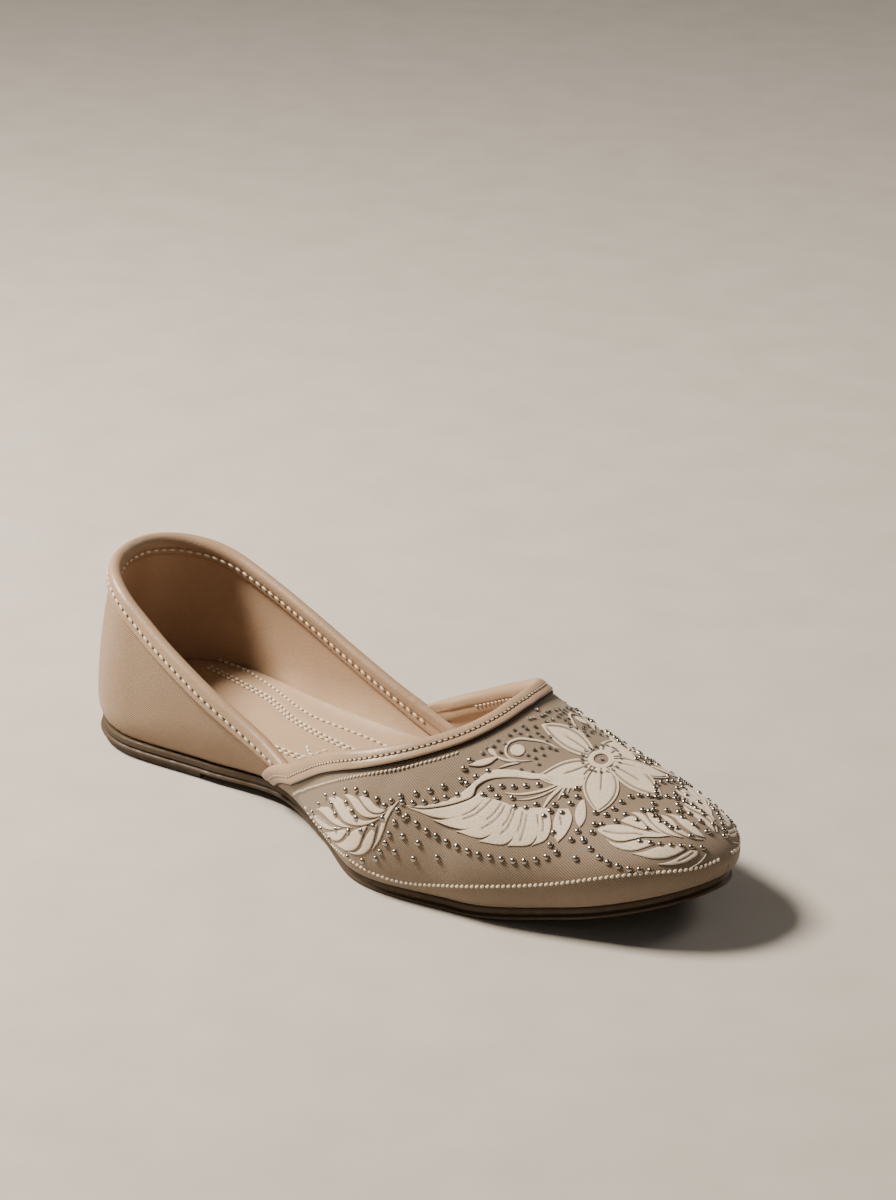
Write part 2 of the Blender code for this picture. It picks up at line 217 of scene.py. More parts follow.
@dataclass(frozen=True)
class Last:
    """The form that the shoe is made over, in the sizes of its solids."""

    length: float = 0.2475
    ball_width: float = 0.0815
    instep_height: float = 0.060
    feather_tuck: float = 0.003
    belly_height: float = 0.009
    heel_round: float = 0.0315
    heel_lean: float = 0.0086
    lean_height: float = 0.050
    lean_reach: float = 0.060
    toe_round: float = 0.0645
    toe_power: float = 2.29
    nose_round: float = 0.014
    tuck_angle: float = math.radians(35)
    tuck_share: float = 0.15
    sole_thickness: float = 0.0038
    heel_lift: float = 0.0022
    arch_rise: float = 0.0008
    toe_spring: float = 0.0118
    clearance: float = 0.0003
    collar_height: float = 0.0590
    quarter_reach: float = 0.125
    origin: tuple[float, float] = (0.124563, -0.010392)
    paces: int = 6
    waist_share: float = 0.4
    lean_power: float = 1.5

    def share_at(self, along: Array) -> Array:
        """Share of the length at a place along the skin."""
        return (1 - np.cos(np.pi * along)) / 2

    def along_at(self, share: Array) -> Array:
        """Place along the skin at a share of the length."""
        return np.arccos(np.clip(1 - 2 * np.asarray(share, float), -1, 1)) / np.pi

    def underside(self, share: Array) -> Array:
        """Height of the sole's underside above the floor."""
        lift = self.heel_lift * smooth(UNDERSIDE, LIFT, share)
        rise = self.arch_rise * smooth(UNDERSIDE, RISE, share)
        return lift + rise + self.toe_spring * smooth(UNDERSIDE, SPRING, share)

    def feather(self, share: Array) -> Array:
        """Height of the upper's lower edge."""
        return self.underside(share) + self.sole_thickness + self.clearance

    def end_round(self, share: Array) -> Array:
        """How wide the last still is where its heel and toe round off, from 0 to 1."""
        back = np.clip(1 - share * self.length / self.heel_round, 0, 1)
        front = np.clip(1 - (1 - share) * self.length / self.toe_round, 0, 1)
        return np.sqrt((1 - back**2) * (1 - front**self.toe_power))

    def skin(self, along: Array, around: Array, proud: Array) -> Array:
        """Points of the last's skin in the frame.

        Args:
            along: 0 at the back of the heel and 1 at the tip of the toe; it runs on past both.
            around: -1 at the outer feather edge, 0 on the ridge, 1 at the inner feather edge.
            proud: How far the points stand off the last.

        Returns:
            An array of points, with a last axis of 3.
        """
        along, around, proud = np.broadcast_arrays(along, around, proud)
        side = np.where(along < 0, -around, around)
        along = np.abs(along)
        side = np.where(along > 1, -side, side)
        along = np.where(along > 1, 2 - along, along)
        outer = side < 0
        climb = 1 - np.abs(side)
        share = self.share_at(along)
        ends = self.end_round(share)
        halves = np.where(outer, smooth(SECTIONS, OUTER, share), smooth(SECTIONS, INNER, share))
        wide = (self.ball_width * halves + proud) * ends
        outer_tuck = smooth(SECTIONS, OUTER_TUCK, share)
        tuck = self.feather_tuck * np.where(outer, outer_tuck, smooth(SECTIONS, INNER_TUCK, share)) * ends
        low = self.feather(share)
        top = self.instep_height * smooth(SECTIONS, RIDGE, share) + proud
        waist = np.minimum(self.belly_height * smooth(SECTIONS, BELLY, share), self.waist_share * (top - low))
        bluff = np.clip(1 - (1 - share) * self.length / self.nose_round, 0, 1)
        closing = (top - low - waist) * np.sqrt(1 - bluff**2)

        quarter_turn = np.pi / 2 - self.tuck_angle
        arc = self.tuck_angle + np.clip(climb / self.tuck_share, 0, 1) * quarter_turn
        inset = tuck * (1 - np.sin(arc)) / (1 - math.sin(self.tuck_angle))
        lift = waist * (1 - np.cos(arc) / math.cos(self.tuck_angle))
        turn = np.clip((climb - self.tuck_share) / (1 - self.tuck_share), 0, 1) * np.pi / 2
        power = 2 / smooth(SECTIONS, POWER, share)
        over = wide * np.clip(np.cos(turn), 0, 1) ** power
        rise = waist + closing * np.clip(np.sin(turn), 0, 1) ** power
        below = climb < self.tuck_share
        out = np.where(below, wide - inset, over)
        height = low + np.where(below, lift, rise)

        under = np.clip(1 - (height - low) / waist, 0, 1)
        tuck_back = self.feather_tuck * (1 - np.sqrt(1 - under**2))
        near_heel = np.clip(1 - share * self.length / self.lean_reach, 0, 1) ** 2
        above = np.clip(height - low - waist, 0, None) / self.lean_height
        leaning = self.heel_lean * above**self.lean_power
        near_toe = np.clip(1 - (1 - share) * self.length / self.toe_round, 0, 1) ** 2
        x = share * (self.length + 2 * proud) - proud
        x = x + near_heel * (leaning + tuck_back) - near_toe * tuck_back
        y = np.sign(side) * out
        return np.stack([x - self.origin[0], y - self.origin[1], height], axis=-1)

    def around_at(self, share: Array, height: Array) -> Array:
        """How far around the skin lies at a height, as a positive number.

        Args:
            share: Shares of the length, from the back of the heel.
            height: Heights above the floor.

        Returns:
            The places, from 0 on the ridge to 1 at the feather edge.
        """
        low = self.feather(share)
        top = self.instep_height * smooth(SECTIONS, RIDGE, share)
        waist = np.minimum(self.belly_height * smooth(SECTIONS, BELLY, share), self.waist_share * (top - low))
        power = smooth(SECTIONS, POWER, share)
        above = np.clip((height - low - waist) / (top - low - waist), 0, 1)
        turn = np.arcsin(above ** (power / 2)) / (np.pi / 2)
        high = self.tuck_share + (1 - self.tuck_share) * turn
        cosine = np.clip(1 - (height - low) / waist, 0, 1) * math.cos(self.tuck_angle)
        angle = np.pi / 2 - self.tuck_angle
        under = self.tuck_share * (np.arccos(cosine) - self.tuck_angle) / angle
        return 1 - np.where(height < low + waist, under, high)

    def slopes(self, along: Array, around: Array, proud: Array) -> tuple:
        """Change of the skin's points lengthwise and crosswise."""
        lengthwise = self.skin(along + STEP, around, proud) - self.skin(along - STEP, around, proud)
        crosswise = self.skin(along, around + STEP, proud) - self.skin(along, around - STEP, proud)
        return lengthwise / (2 * STEP), crosswise / (2 * STEP)

    def normal(self, along: Array, around: Array, proud: Array) -> Array:
        """Directions that point off the skin."""
        return unit(np.cross(*self.slopes(along, around, proud)))

    def collar_edge(self, run: Array) -> tuple[Array, Array]:
        """(along, around) on the collar line, from -1 at its inner end to 1 at its outer end.

        Args:
            run: Places on the line, from -1 to 1.

        Returns:
            Places along and around.
        """
        along = run * self.along_at(self.quarter_reach / self.length)
        share = self.share_at(np.abs(along))
        outer = smooth(COLLAR, OUTER_HEIGHT, share)
        inner = smooth(COLLAR, INNER_HEIGHT, share)
        return along, -self.around_at(share, self.collar_height * np.where(run < 0, inner, outer))

    def throat_edge(self, run: Array) -> tuple[Array, Array]:
        """(along, around) on the throat line, from -1 at its outer end to 1 at its inner end."""
        outer = smooth(THROAT, OUTER_THROAT, np.abs(run))
        inner = smooth(THROAT, INNER_THROAT, np.abs(run))
        return self.along_at(np.where(run < 0, outer, inner)), run

    def beside(self, edge: Edge, run: Array, down: Array) -> tuple[Array, Array]:
        """(along, around) of the points that lie `down` metres beside an edge, over the skin.

        Args:
            edge: The line that is followed.
            run: Places on the line, from -1 to 1.
            down: How far beside the line.

        Returns:
            Places along and around.
        """
        along, around = edge(run)
        ahead = self.skin(*edge(run + STEP), 0.0)
        tangent = ahead - self.skin(*edge(run - STEP), 0.0)
        for _ in range(self.paces):
            lengthwise, crosswise = self.slopes(along, around, 0.0)
            across = unit(np.cross(tangent, np.cross(lengthwise, crosswise)))
            e = (lengthwise**2).sum(-1)
            f = (lengthwise * crosswise).sum(-1)
            g = (crosswise**2).sum(-1)
            p = (lengthwise * across).sum(-1)
            q = (crosswise * across).sum(-1)
            scale = down / self.paces / (e * g - f * f)
            along = along + (g * p - f * q) * scale
            around = around + (e * q - f * p) * scale
        return along, around


LAST = Last()


@dataclass(frozen=True)
class View:
    """The photograph's camera, as fitted to the shoe's outline."""

    frame_px: Pixel = (896.0, 1200.0)
    yaw: float = math.radians(41.66)
    tilt: float = math.radians(23.9)
    focal_px: float = 3725.09
    axis_px: Pixel = (408.95, 749.82)
    distance: float = 1.1569
    target: tuple[float, float, float] = (0.000437, 0.010392, 0.020)
    sensor_mm: float = 36.0
    near: float = 0.01

    def axes(self) -> tuple[Array, Array, Array]:
        """Right, up and towards the camera.

        Returns:
            The three directions.
        """
        right = np.array([math.cos(self.yaw), math.sin(self.yaw), 0.0])
        level = math.cos(self.tilt)
        ahead = (math.sin(self.yaw) * level, -math.cos(self.yaw) * level, math.sin(self.tilt))
        toward = np.array(ahead)
        return right, np.cross(toward, right), toward

    def project(self, points: Array) -> Array:
        """Pixels of the photograph at points of the frame.

        Args:
            points: Points of the frame.

        Returns:
            The pixels, across and down.
        """
        right, up, toward = self.axes()
        offset = points - np.array(self.target)
        depth = self.distance - offset @ toward
        across = self.axis_px[0] + self.focal_px * (offset @ right) / depth
        down = self.axis_px[1] - self.focal_px * (offset @ up) / depth
        return np.stack([across, down], axis=-1)

    def make_camera(self) -> Piece:
        """The camera where the photograph's stood, turned to the middle of the frame.

        Returns:
            The camera.
        """
        right, up, toward = self.axes()
        data = bpy.data.cameras.new("camera")
        data.sensor_width = self.sensor_mm
        data.lens = self.focal_px / self.frame_px[1] * data.sensor_width
        data.clip_start = self.near
        camera = bpy.data.objects.new("camera", data)
        bpy.context.scene.collection.objects.link(camera)
        aside = self.frame_px[0] / 2 - self.axis_px[0]
        above = self.axis_px[1] - self.frame_px[1] / 2
        ahead = Vector(right * aside + up * above - toward * self.focal_px)
        turned = Matrix((right, up, toward)).transposed()
        swing = Vector(-toward).rotation_difference(ahead).to_matrix()
        camera.matrix_world = (swing @ turned).to_4x4()
        camera.location = Vector(self.target) + Vector(toward) * self.distance
        return camera


VIEW = View()


class Chart:
    """Where the photograph's pixels fall on the outer half of the vamp."""

    samples: int = 110
    along_span: tuple[float, float] = (0.40, 0.985)
    around_span: tuple[float, float] = (-0.99, 0.12)
    least_facing: float = 0.02
    rounds: int = 8
    along_reach: float = 0.012
    around_reach: float = 0.022
    least_slope: float = 2e3

    def __init__(self, proud: float) -> None:
        """Samples the part of the vamp that faces the camera, for first guesses.

        Args:
            proud: How far the vamp's face stands off the last.
        """
        self.proud = proud
        along = np.linspace(*self.along_span, self.samples)[:, None]
        around = np.linspace(*self.around_span, self.samples)[None, :]
        points = LAST.skin(along, around, proud)
        _, _, toward = VIEW.axes()
        eye = np.array(VIEW.target) + toward * VIEW.distance
        facing = ((eye - points) * LAST.normal(along, around, proud)).sum(-1) > self.least_facing
        along, around = np.broadcast_arrays(along, around)
        self.pixels = VIEW.project(points)[facing]
        self.places = np.stack([along[facing], around[facing]], axis=-1)

    def first_guess(self, pixels: Array) -> Array:
        """The sampled place that shows nearest to each pixel."""
        reach = ((pixels[:, None] - self.pixels[None]) ** 2).sum(-1)
        return self.places[reach.argmin(axis=1)]

    def cast(self, pixels: Array) -> tuple[Array, Array]:
        """(along, around) on the vamp at an array of pixels.

        A pixel beyond the shoe's outline stays at the last place inside it.

        Args:
            pixels: Pixels of the photograph.

        Returns:
            Places along and around.
        """
        shape = pixels.shape[:-1]
        pixels = pixels.reshape(-1, 2)
        start_along, start_around = self.first_guess(pixels).T
        along, around = start_along.copy(), start_around.copy()
        for _ in range(self.rounds):
            here = VIEW.project(LAST.skin(along, around, self.proud))
            by_along = (VIEW.project(LAST.skin(along + STEP, around, self.proud)) - here) / STEP
            by_around = (VIEW.project(LAST.skin(along, around + STEP, self.proud)) - here) / STEP
            miss = pixels - here
            flat = by_along[:, 0] * by_around[:, 1] - by_along[:, 1] * by_around[:, 0]
            least = self.least_slope * np.where(flat < 0, -1, 1)
            flat = np.where(np.abs(flat) < self.least_slope, least, flat)
            step_along = (miss[:, 0] * by_around[:, 1] - miss[:, 1] * by_around[:, 0]) / flat
            step_around = (by_along[:, 0] * miss[:, 1] - by_along[:, 1] * miss[:, 0]) / flat
            low, high = start_along - self.along_reach, start_along + self.along_reach
            along = np.clip(along + step_along, low, high)
            low, high = start_around - self.around_reach, start_around + self.around_reach
            around = np.clip(around + step_around, low, high)
        return along.reshape(shape), around.reshape(shape)


# Building meshes


def select_only(piece: Piece) -> None:
    """Makes one piece the active and only selected object."""
    bpy.ops.object.select_all(action="DESELECT")
    piece.select_set(True)
    bpy.context.view_layer.objects.active = piece


def lay_sheet(name: str, points: Array, cloth: Array | None = None) -> Piece:
    """A grid primitive whose vertices are laid on points.

    Args:
        name: The piece's name.
        points: Rows and columns of points.
        cloth: Rows and columns of places on the flat cloth, in metres, for the UV map.

    Returns:
        The sheet, not yet welded.
    """
    rows, columns = points.shape[:2]
    bpy.ops.object.select_all(action="DESELECT")
    bpy.ops.mesh.primitive_grid_add(x_subdivisions=rows - 1, y_subdivisions=columns - 1, size=2)
    sheet = bpy.context.object
    sheet.name = name
    mesh = sheet.data
    mesh.name = name
    flat = np.empty(len(mesh.vertices) * 3)
    mesh.vertices.foreach_get("co", flat)
    flat = (flat.reshape(-1, 3) + 1) / 2
    row = np.rint(flat[:, 0] * (rows - 1)).astype(int)
    column = np.rint(flat[:, 1] * (columns - 1)).astype(int)
    mesh.vertices.foreach_set("co", points[row, column].ravel())
    if cloth is not None:
        corners = np.empty(len(mesh.loops), int)
        mesh.loops.foreach_get("vertex_index", corners)
        mesh.uv_layers[0].data.foreach_set("uv", cloth[row, column][corners].ravel())
    mesh.update()
    return sheet


def close_up(piece: Piece, angle: float) -> Piece:
    """Welds a closed piece, fills what is open, turns its faces outwards and shades it smooth.

    Args:
        piece: The piece.
        angle: The angle in degrees up to which edges are shaded smooth.

    Returns:
        The same piece.
    """
    build = bmesh.new()
    build.from_mesh(piece.data)
    bmesh.ops.remove_doubles(build, verts=build.verts, dist=WELD)
    bmesh.ops.dissolve_degenerate(build, edges=build.edges, dist=WELD)
    rims = [edge for edge in build.edges if edge.is_boundary]
    bmesh.ops.holes_fill(build, edges=rims, sides=0)
    bmesh.ops.recalc_face_normals(build, faces=build.faces)
    build.to_mesh(piece.data)
    build.free()
    select_only(piece)
    bpy.ops.object.shade_smooth_by_angle(angle=math.radians(angle))
    return piece


def wall_points(outside: Array, inside: Array) -> Array:
    """Rings round a wall: out along its face, back along its inner face, closed at both ends.

    Args:
        outside: Points of the outer face.
        inside: Points of the inner face.

    Returns:
        The rings, one to each row.
    """
    middle = (outside + inside) / 2
    out = np.concatenate([middle[:1], outside, middle[-1:]])
    back = np.concatenate([middle[:1], inside, middle[-1:]])
    return np.concatenate([out, back[:, ::-1], out[:, :1]], axis=1)


def make_wall(
    name: str, outside: Array, inside: Array, cloth: Array
) -> Piece:
    """A closed wall between two grids of points."""
    sheet = lay_sheet(name, wall_points(outside, inside), wall_points(cloth, cloth))
    return close_up(sheet, WALL_ANGLE)


def soften(piece: Piece, levels: int = 1) -> Piece:
    """Rounds a piece with an applied subdivision surface.

    Args:
        piece: The piece.
        levels: How many times it is rounded.

    Returns:
        The same piece.
    """
    rounding = piece.modifiers.new("rounding", "SUBSURF")
    rounding.levels = levels
    rounding.render_levels = levels
    select_only(piece)
    bpy.ops.object.modifier_apply(modifier=rounding.name)
    return piece


def join_pieces(name: str, pieces: Sequence[Piece]) -> Piece:
    """Several pieces as one object.

    Args:
        name: The name.
        pieces: The pieces.

    Returns:
        The joined piece.
    """
    select_only(pieces[0])
    for piece in pieces:
        piece.select_set(True)
    bpy.ops.object.join()
    whole = bpy.context.object
    whole.name = name
    whole.data.name = name
    return whole


def dress(piece: Piece, material: Material) -> Piece:
    """Gives a finished piece its material and its body.

    Args:
        piece: The piece.
        material: Its finish.

    Returns:
        The same piece.
    """
    piece.data.materials.clear()
    piece.data.materials.append(material)
    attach(piece, BODY)
    log.info("%s: %d faces", piece.name, len(piece.data.polygons))
    return piece


@dataclass
class Places:
    """Where many small things sit: a point, a direction along, and a direction off the surface."""

    points: Array
    along: Array
    off: Array

    def joined(self, other: Places) -> Places:
        """These places and the other ones.

        Args:
            other: The other places.

        Returns:
            One list of places.
        """
        return Places(
            np.concatenate([self.points, other.points]),
            np.concatenate([self.along, other.along]),
            np.concatenate([self.off, other.off]),
        )

    def turned(self, angle: float) -> Places:
        """The places with their directions turned on the surface."""
        beside = unit(np.cross(self.off, self.along))
        along = self.along * math.cos(angle) + beside * math.sin(angle)
        return Places(self.points, along, self.off)


def scatter(name: str, seed: Piece, places: Places, angle: float) -> Piece:
    """Copies of one small thing, joined in one mesh, with the small thing removed.

    Args:
        name: The piece's name.
        seed: The small thing, its length along X and its foot on Z 0.
        places: Where the copies sit.
        angle: The angle in degrees up to which edges are shaded smooth.

    Returns:
        The joined piece.
    """
    count = len(seed.data.vertices)
    shape = np.empty(count * 3)
    seed.data.vertices.foreach_get("co", shape)
    faces = [list(face.vertices) for face in seed.data.polygons]
    off = unit(places.off)
    beside = unit(np.cross(off, places.along))
    turns = np.stack([np.cross(beside, off), beside, off], axis=-1)
    copies = np.einsum("nij,vj->nvi", turns, shape.reshape(-1, 3)) + places.points[:, None]
    mesh = bpy.data.meshes.new(name)
    listed = [[v + i * count for v in face] for i in range(len(copies)) for face in faces]
    mesh.from_pydata(copies.reshape(-1, 3).tolist(), [], listed)
    piece = bpy.data.objects.new(name, mesh)
    bpy.context.scene.collection.objects.link(piece)
    bpy.data.objects.remove(seed, do_unlink=True)
    select_only(piece)
    bpy.ops.object.shade_smooth_by_angle(angle=math.radians(angle))
    return piece


def make_grain_of_thread(length: float, width: float, height: float) -> Piece:
    """One stitch or knot as a long round grain, half sunk.

    Args:
        length: Its length.
        width: Its width.
        height: Its height.

    Returns:
        The grain.
    """
    bpy.ops.object.select_all(action="DESELECT")
    bpy.ops.mesh.primitive_uv_sphere_add(segments=GRAIN_SEGMENTS, ring_count=GRAIN_RINGS, radius=1.0)
    seed = bpy.context.object
    points = np.empty(len(seed.data.vertices) * 3)
    seed.data.vertices.foreach_get("co", points)
    points = points.reshape(-1, 3)[:, [2, 0, 1]]
    points[:, 0] = np.sign(points[:, 0]) * np.abs(points[:, 0]) ** GRAIN_BLUNT
    points = points * np.array([length, width, height]) / 2
    seed.data.vertices.foreach_set("co", points.ravel())
    return seed


def sew(
    name: str, size: tuple[float, float, float], places: Places, finish: Material
) -> Piece:
    """Grains of thread in one dressed piece.

    Args:
        name: The piece's name.
        size: Length, width and height of a grain.
        places: Where the grains sit.
        finish: The thread's material.

    Returns:
        The dressed piece.
    """
    return dress(scatter(name, make_grain_of_thread(*size), places, ROUND_ANGLE), finish)


def reach_along(line: Array) -> Array:
    """Distance of each point from the first one, along the line."""
    steps = np.linalg.norm(np.diff(line, axis=0), axis=1)
    return np.concatenate([[0.0], np.cumsum(steps)])


def read_line(line: Array, at: Array) -> Array:
    """Points of a line at indexes with fractions."""
    index = np.arange(len(line))
    columns = [np.interp(at, index, line[:, axis]) for axis in range(line.shape[1])]
    return np.stack(columns, axis=-1)


def evenly(points: Array, pitch: float) -> Array:
    """Indexes, with fractions, of places a pitch apart along a line of points."""
    reach = reach_along(points)
    count = max(int(reach[-1] / pitch), 1)
    return np.interp((np.arange(count) + 0.5) * reach[-1] / count, reach, np.arange(len(points)))


def places_on_skin(along: Array, around: Array, proud: float, pitch: float) -> Places:
    """Places a pitch apart along a line on the skin.

    Args:
        along: Places along the skin.
        around: Places around the skin.
        proud: How far off the last.
        pitch: The distance from one to the next.

    Returns:
        The places.
    """
    points = LAST.skin(along, around, proud)
    at = evenly(points, pitch)
    index = np.arange(len(points))
    along = np.interp(at, index, along)
    around = np.interp(at, index, around)
    line = read_line(points, at)
    tangent = unit(read_line(points, at + LOOK) - read_line(points, at - LOOK))
    return Places(line, tangent, LAST.normal(along, around, proud))


def curve_through(points: Line, count: int) -> Array:
    """A smooth line of pixels through a few chosen ones.

    Args:
        points: Points of the frame.
        count: How many pixels it gets.

    Returns:
        The line.
    """
    chosen = np.array(points, float).reshape(-1, 2)
    reach = reach_along(chosen)
    reach /= reach[-1]
    at = np.linspace(0.0, 1.0, count)
    lines = []
    for axis in range(2):
        table = tuple(zip(reach.tolist(), chosen[:, axis].tolist()))
        lines.append(smooth(table, 1, at))
    return np.stack(lines, axis=-1)


# Finishes


class Effect(Enum):
    """Shader groups that more than one finish uses."""

    TWILL = "twill weave"
    GRAIN = "leather grain"
    TONE = "worn tone"


class Nodes:
    """Short ways to add and join shader nodes in one tree."""

    def __init__(self, tree: bpy.types.NodeTree) -> None:
        """Keeps the tree that the nodes go in."""
        self.tree = tree

    def add(self, kind: str, **settings: object) -> bpy.types.Node:
        """A new node with its settings.

        Args:
            kind: The node's type.
            settings: Its properties.

        Returns:
            The node.
        """
        node = self.tree.nodes.new(kind)
        for name, value in settings.items():
            setattr(node, name, value)
        return node

    def feed(self, socket: Socket, value: object) -> None:
        """Joins an output to a socket, or sets the socket's own value.

        Args:
            socket: The socket.
            value: An output or a plain value.
        """
        if isinstance(value, Socket):
            self.tree.links.new(value, socket)
        else:
            socket.default_value = value

    def math(self, operation: str, *values: object) -> Socket:
        """The output of a Math node.

        Args:
            operation: What is worked out.
            values: Outputs or numbers.

        Returns:
            The output.
        """
        node = self.add("ShaderNodeMath", operation=operation)
        for socket, value in zip(node.inputs, values):
            self.feed(socket, value)
        return node.outputs[0]

    def mix(
        self, amount: object, first: object, second: object, blend: str = "MIX"
    ) -> Socket:
        """The output of a colour mix.

        Args:
            amount: How much of the second colour.
            first: The first colour.
            second: The second colour.
            blend: How they are mixed.

        Returns:
            The output.
        """
        node = self.add("ShaderNodeMix", data_type="RGBA", blend_type=blend)
        self.feed(node.inputs[0], amount)
        self.feed(node.inputs[6], first)
        self.feed(node.inputs[7], second)
        return node.outputs[2]

    def noise(self, where: object, scale: object, detail: float = 3.0) -> Socket:
        """The factor of a Noise texture.

        Args:
            where: The place that it is read at.
            scale: Its scale.
            detail: Its detail.

        Returns:
            The output.
        """
        node = self.add("ShaderNodeTexNoise")
        self.feed(node.inputs["Vector"], where)
        self.feed(node.inputs["Scale"], scale)
        node.inputs["Detail"].default_value = detail
        return node.outputs["Fac"]

    def spread(
        self, value: object, low: float, high: float, start: float, end: float
    ) -> Socket:
        """A value moved from one range to another, and held inside it.

        Args:
            value: An output or a plain value.
            low: Start of the first range.
            high: End of the first range.
            start: Start of the second range.
            end: End of the second range.

        Returns:
            The output.
        """
        node = self.add("ShaderNodeMapRange")
        self.feed(node.inputs["Value"], value)
        node.inputs["From Min"].default_value = low
        node.inputs["From Max"].default_value = high
        node.inputs["To Min"].default_value = start
        node.inputs["To Max"].default_value = end
        return node.outputs["Result"]


class Groups:
    """The shader groups, each made the first time that it is used."""

    made: dict[Effect, bpy.types.NodeTree] = {}
    wander_scale: float = 260.0
    cross_pitch: float = 1.35
    fibre_scale: float = 2600.0
    crease_scale: float = 400.0
    crease_bend: float = 0.0006
    pebble_share: float = 0.7
    pore_scale: float = 2200.0
    broad_scale: float = 38.0
    fine_scale: float = 310.0
    patch_detail: float = 4.0

    @classmethod
    def tree(cls, effect: Effect) -> bpy.types.NodeTree:
        """The group of an effect.

        Args:
            effect: Which group.

        Returns:
            The group.
        """
        if effect not in cls.made:
            makers = {
                Effect.TWILL: cls.make_twill,
                Effect.GRAIN: cls.make_grain,
                Effect.TONE: cls.make_tone,
            }
            cls.made[effect] = makers[effect]()
        return cls.made[effect]

    @staticmethod
    def blank(
        effect: Effect, inputs: Sequence[tuple[str, str]], outputs: Sequence[str]
    ) -> tuple[bpy.types.NodeTree, Nodes, bpy.types.Node, bpy.types.Node]:
        """An empty group with its sockets, its nodes and its two ends.

        Args:
            effect: Which group.
            inputs: Names and kinds of its inputs.
            outputs: Names of its outputs.

        Returns:
            The tree, its nodes, its input node and its output node.
        """
        tree = bpy.data.node_groups.new(effect.value, "ShaderNodeTree")
        for name, kind in inputs:
            tree.interface.new_socket(name, in_out="INPUT", socket_type=kind)
        for name in outputs:
            tree.interface.new_socket(name, in_out="OUTPUT", socket_type="NodeSocketFloat")
        nodes = Nodes(tree)
        return tree, nodes, nodes.add("NodeGroupInput"), nodes.add("NodeGroupOutput")

    @classmethod
    def make_twill(cls) -> bpy.types.NodeTree:
        """Diagonal ribs crossed by fine threads.

        Returns:
            The group.
        """
        inputs = (("Cloth", "NodeSocketVector"), ("Rib", "NodeSocketFloat"), ("Slant", "NodeSocketFloat"))
        tree, nodes, start, end = cls.blank(Effect.TWILL, inputs, ("Height", "Shade"))
        parts = nodes.add("ShaderNodeSeparateXYZ")
        nodes.feed(parts.inputs[0], start.outputs["Cloth"])
        sine = nodes.math("SINE", start.outputs["Slant"])
        cosine = nodes.math("COSINE", start.outputs["Slant"])
        noise = nodes.noise(start.outputs["Cloth"], cls.wander_scale)
        wander = nodes.spread(noise, 0.3, 0.7, -0.9, 0.9)
        across = nodes.math("ADD", nodes.math("MULTIPLY", parts.outputs[0], sine),
                            nodes.math("MULTIPLY", parts.outputs[1], cosine))
        down = nodes.math("SUBTRACT", nodes.math("MULTIPLY", parts.outputs[0], cosine),
                          nodes.math("MULTIPLY", parts.outputs[1], sine))
        turns = nodes.math("DIVIDE", 2 * math.pi, start.outputs["Rib"])
        rib = nodes.math("SINE", nodes.math("ADD", nodes.math("MULTIPLY", across, turns), wander))
        crossed = nodes.math("MULTIPLY", nodes.math("MULTIPLY", down, turns), cls.cross_pitch)
        thread = nodes.math("SINE", crossed)
        rib = nodes.spread(rib, -1.0, 1.0, 0.0, 1.0)
        thread = nodes.spread(thread, -1.0, 1.0, 0.72, 1.0)
        noise = nodes.noise(start.outputs["Cloth"], cls.fibre_scale)
        fibre = nodes.spread(noise, 0.25, 0.75, 0.8, 1.2)
        woven = nodes.math("MULTIPLY", nodes.math("POWER", rib, 0.7), thread)
        height = nodes.math("MULTIPLY", woven, fibre)
        nodes.feed(end.inputs["Height"], height)
        # Shade: the weave's height as a colour value, so the low valleys get painted shade.
        nodes.feed(end.inputs["Shade"], nodes.spread(height, 0.0, 1.0, 0.0, 1.0))
        return tree

    @classmethod
    def make_grain(cls) -> bpy.types.NodeTree:
        """Small pebbles parted by creases, as on soft leather; Shade is darker in the creases, as painted
        shade.

        Returns:
            The group.
        """
        inputs = (("Place", "NodeSocketVector"), ("Cells", "NodeSocketFloat"))
        tree, nodes, start, end = cls.blank(Effect.GRAIN, inputs, ("Height", "Shade"))
        bend = nodes.add("ShaderNodeTexNoise")
        nodes.feed(bend.inputs["Vector"], start.outputs["Place"])
        bend.inputs["Scale"].default_value = cls.crease_scale
        moved = nodes.add("ShaderNodeMixRGB", blend_type="LINEAR_LIGHT")
        moved.inputs[0].default_value = cls.crease_bend
        nodes.feed(moved.inputs[1], start.outputs["Place"])
        nodes.feed(moved.inputs[2], bend.outputs["Color"])
        cells = nodes.add("ShaderNodeTexVoronoi", feature="SMOOTH_F1")
        nodes.feed(cells.inputs["Vector"], moved.outputs[0])
        nodes.feed(cells.inputs["Scale"], start.outputs["Cells"])
        pebble = nodes.spread(cells.outputs["Distance"], 0.1, 0.8, 1.0, 0.0)
        fine = nodes.noise(start.outputs["Place"], cls.pore_scale)
        pebbles = nodes.math("MULTIPLY", pebble, cls.pebble_share)
        pores = nodes.math("MULTIPLY", fine, 1 - cls.pebble_share)
        height = nodes.math("ADD", pebbles, pores)
        nodes.feed(end.inputs["Height"], height)
        nodes.feed(end.inputs["Shade"], pebble)
        return tree

    @classmethod
    def make_tone(cls) -> bpy.types.NodeTree:
        """Broad and middling patches, for colour and gloss that change over a piece.

        Returns:
            The group.
        """
        inputs = (("Place", "NodeSocketVector"),)
        tree, nodes, start, end = cls.blank(Effect.TONE, inputs, ("Broad", "Fine"))
        broad = nodes.noise(start.outputs["Place"], cls.broad_scale, cls.patch_detail)
        fine = nodes.noise(start.outputs["Place"], cls.fine_scale, cls.patch_detail)
        nodes.feed(end.inputs["Broad"], nodes.spread(broad, 0.32, 0.68, 0.0, 1.0))
        nodes.feed(end.inputs["Fine"], nodes.spread(fine, 0.30, 0.70, 0.0, 1.0))
        return tree


def opaque(colour: Colour) -> tuple[float, float, float, float]:
    """The colour with full alpha."""
    return (*colour, 1.0)


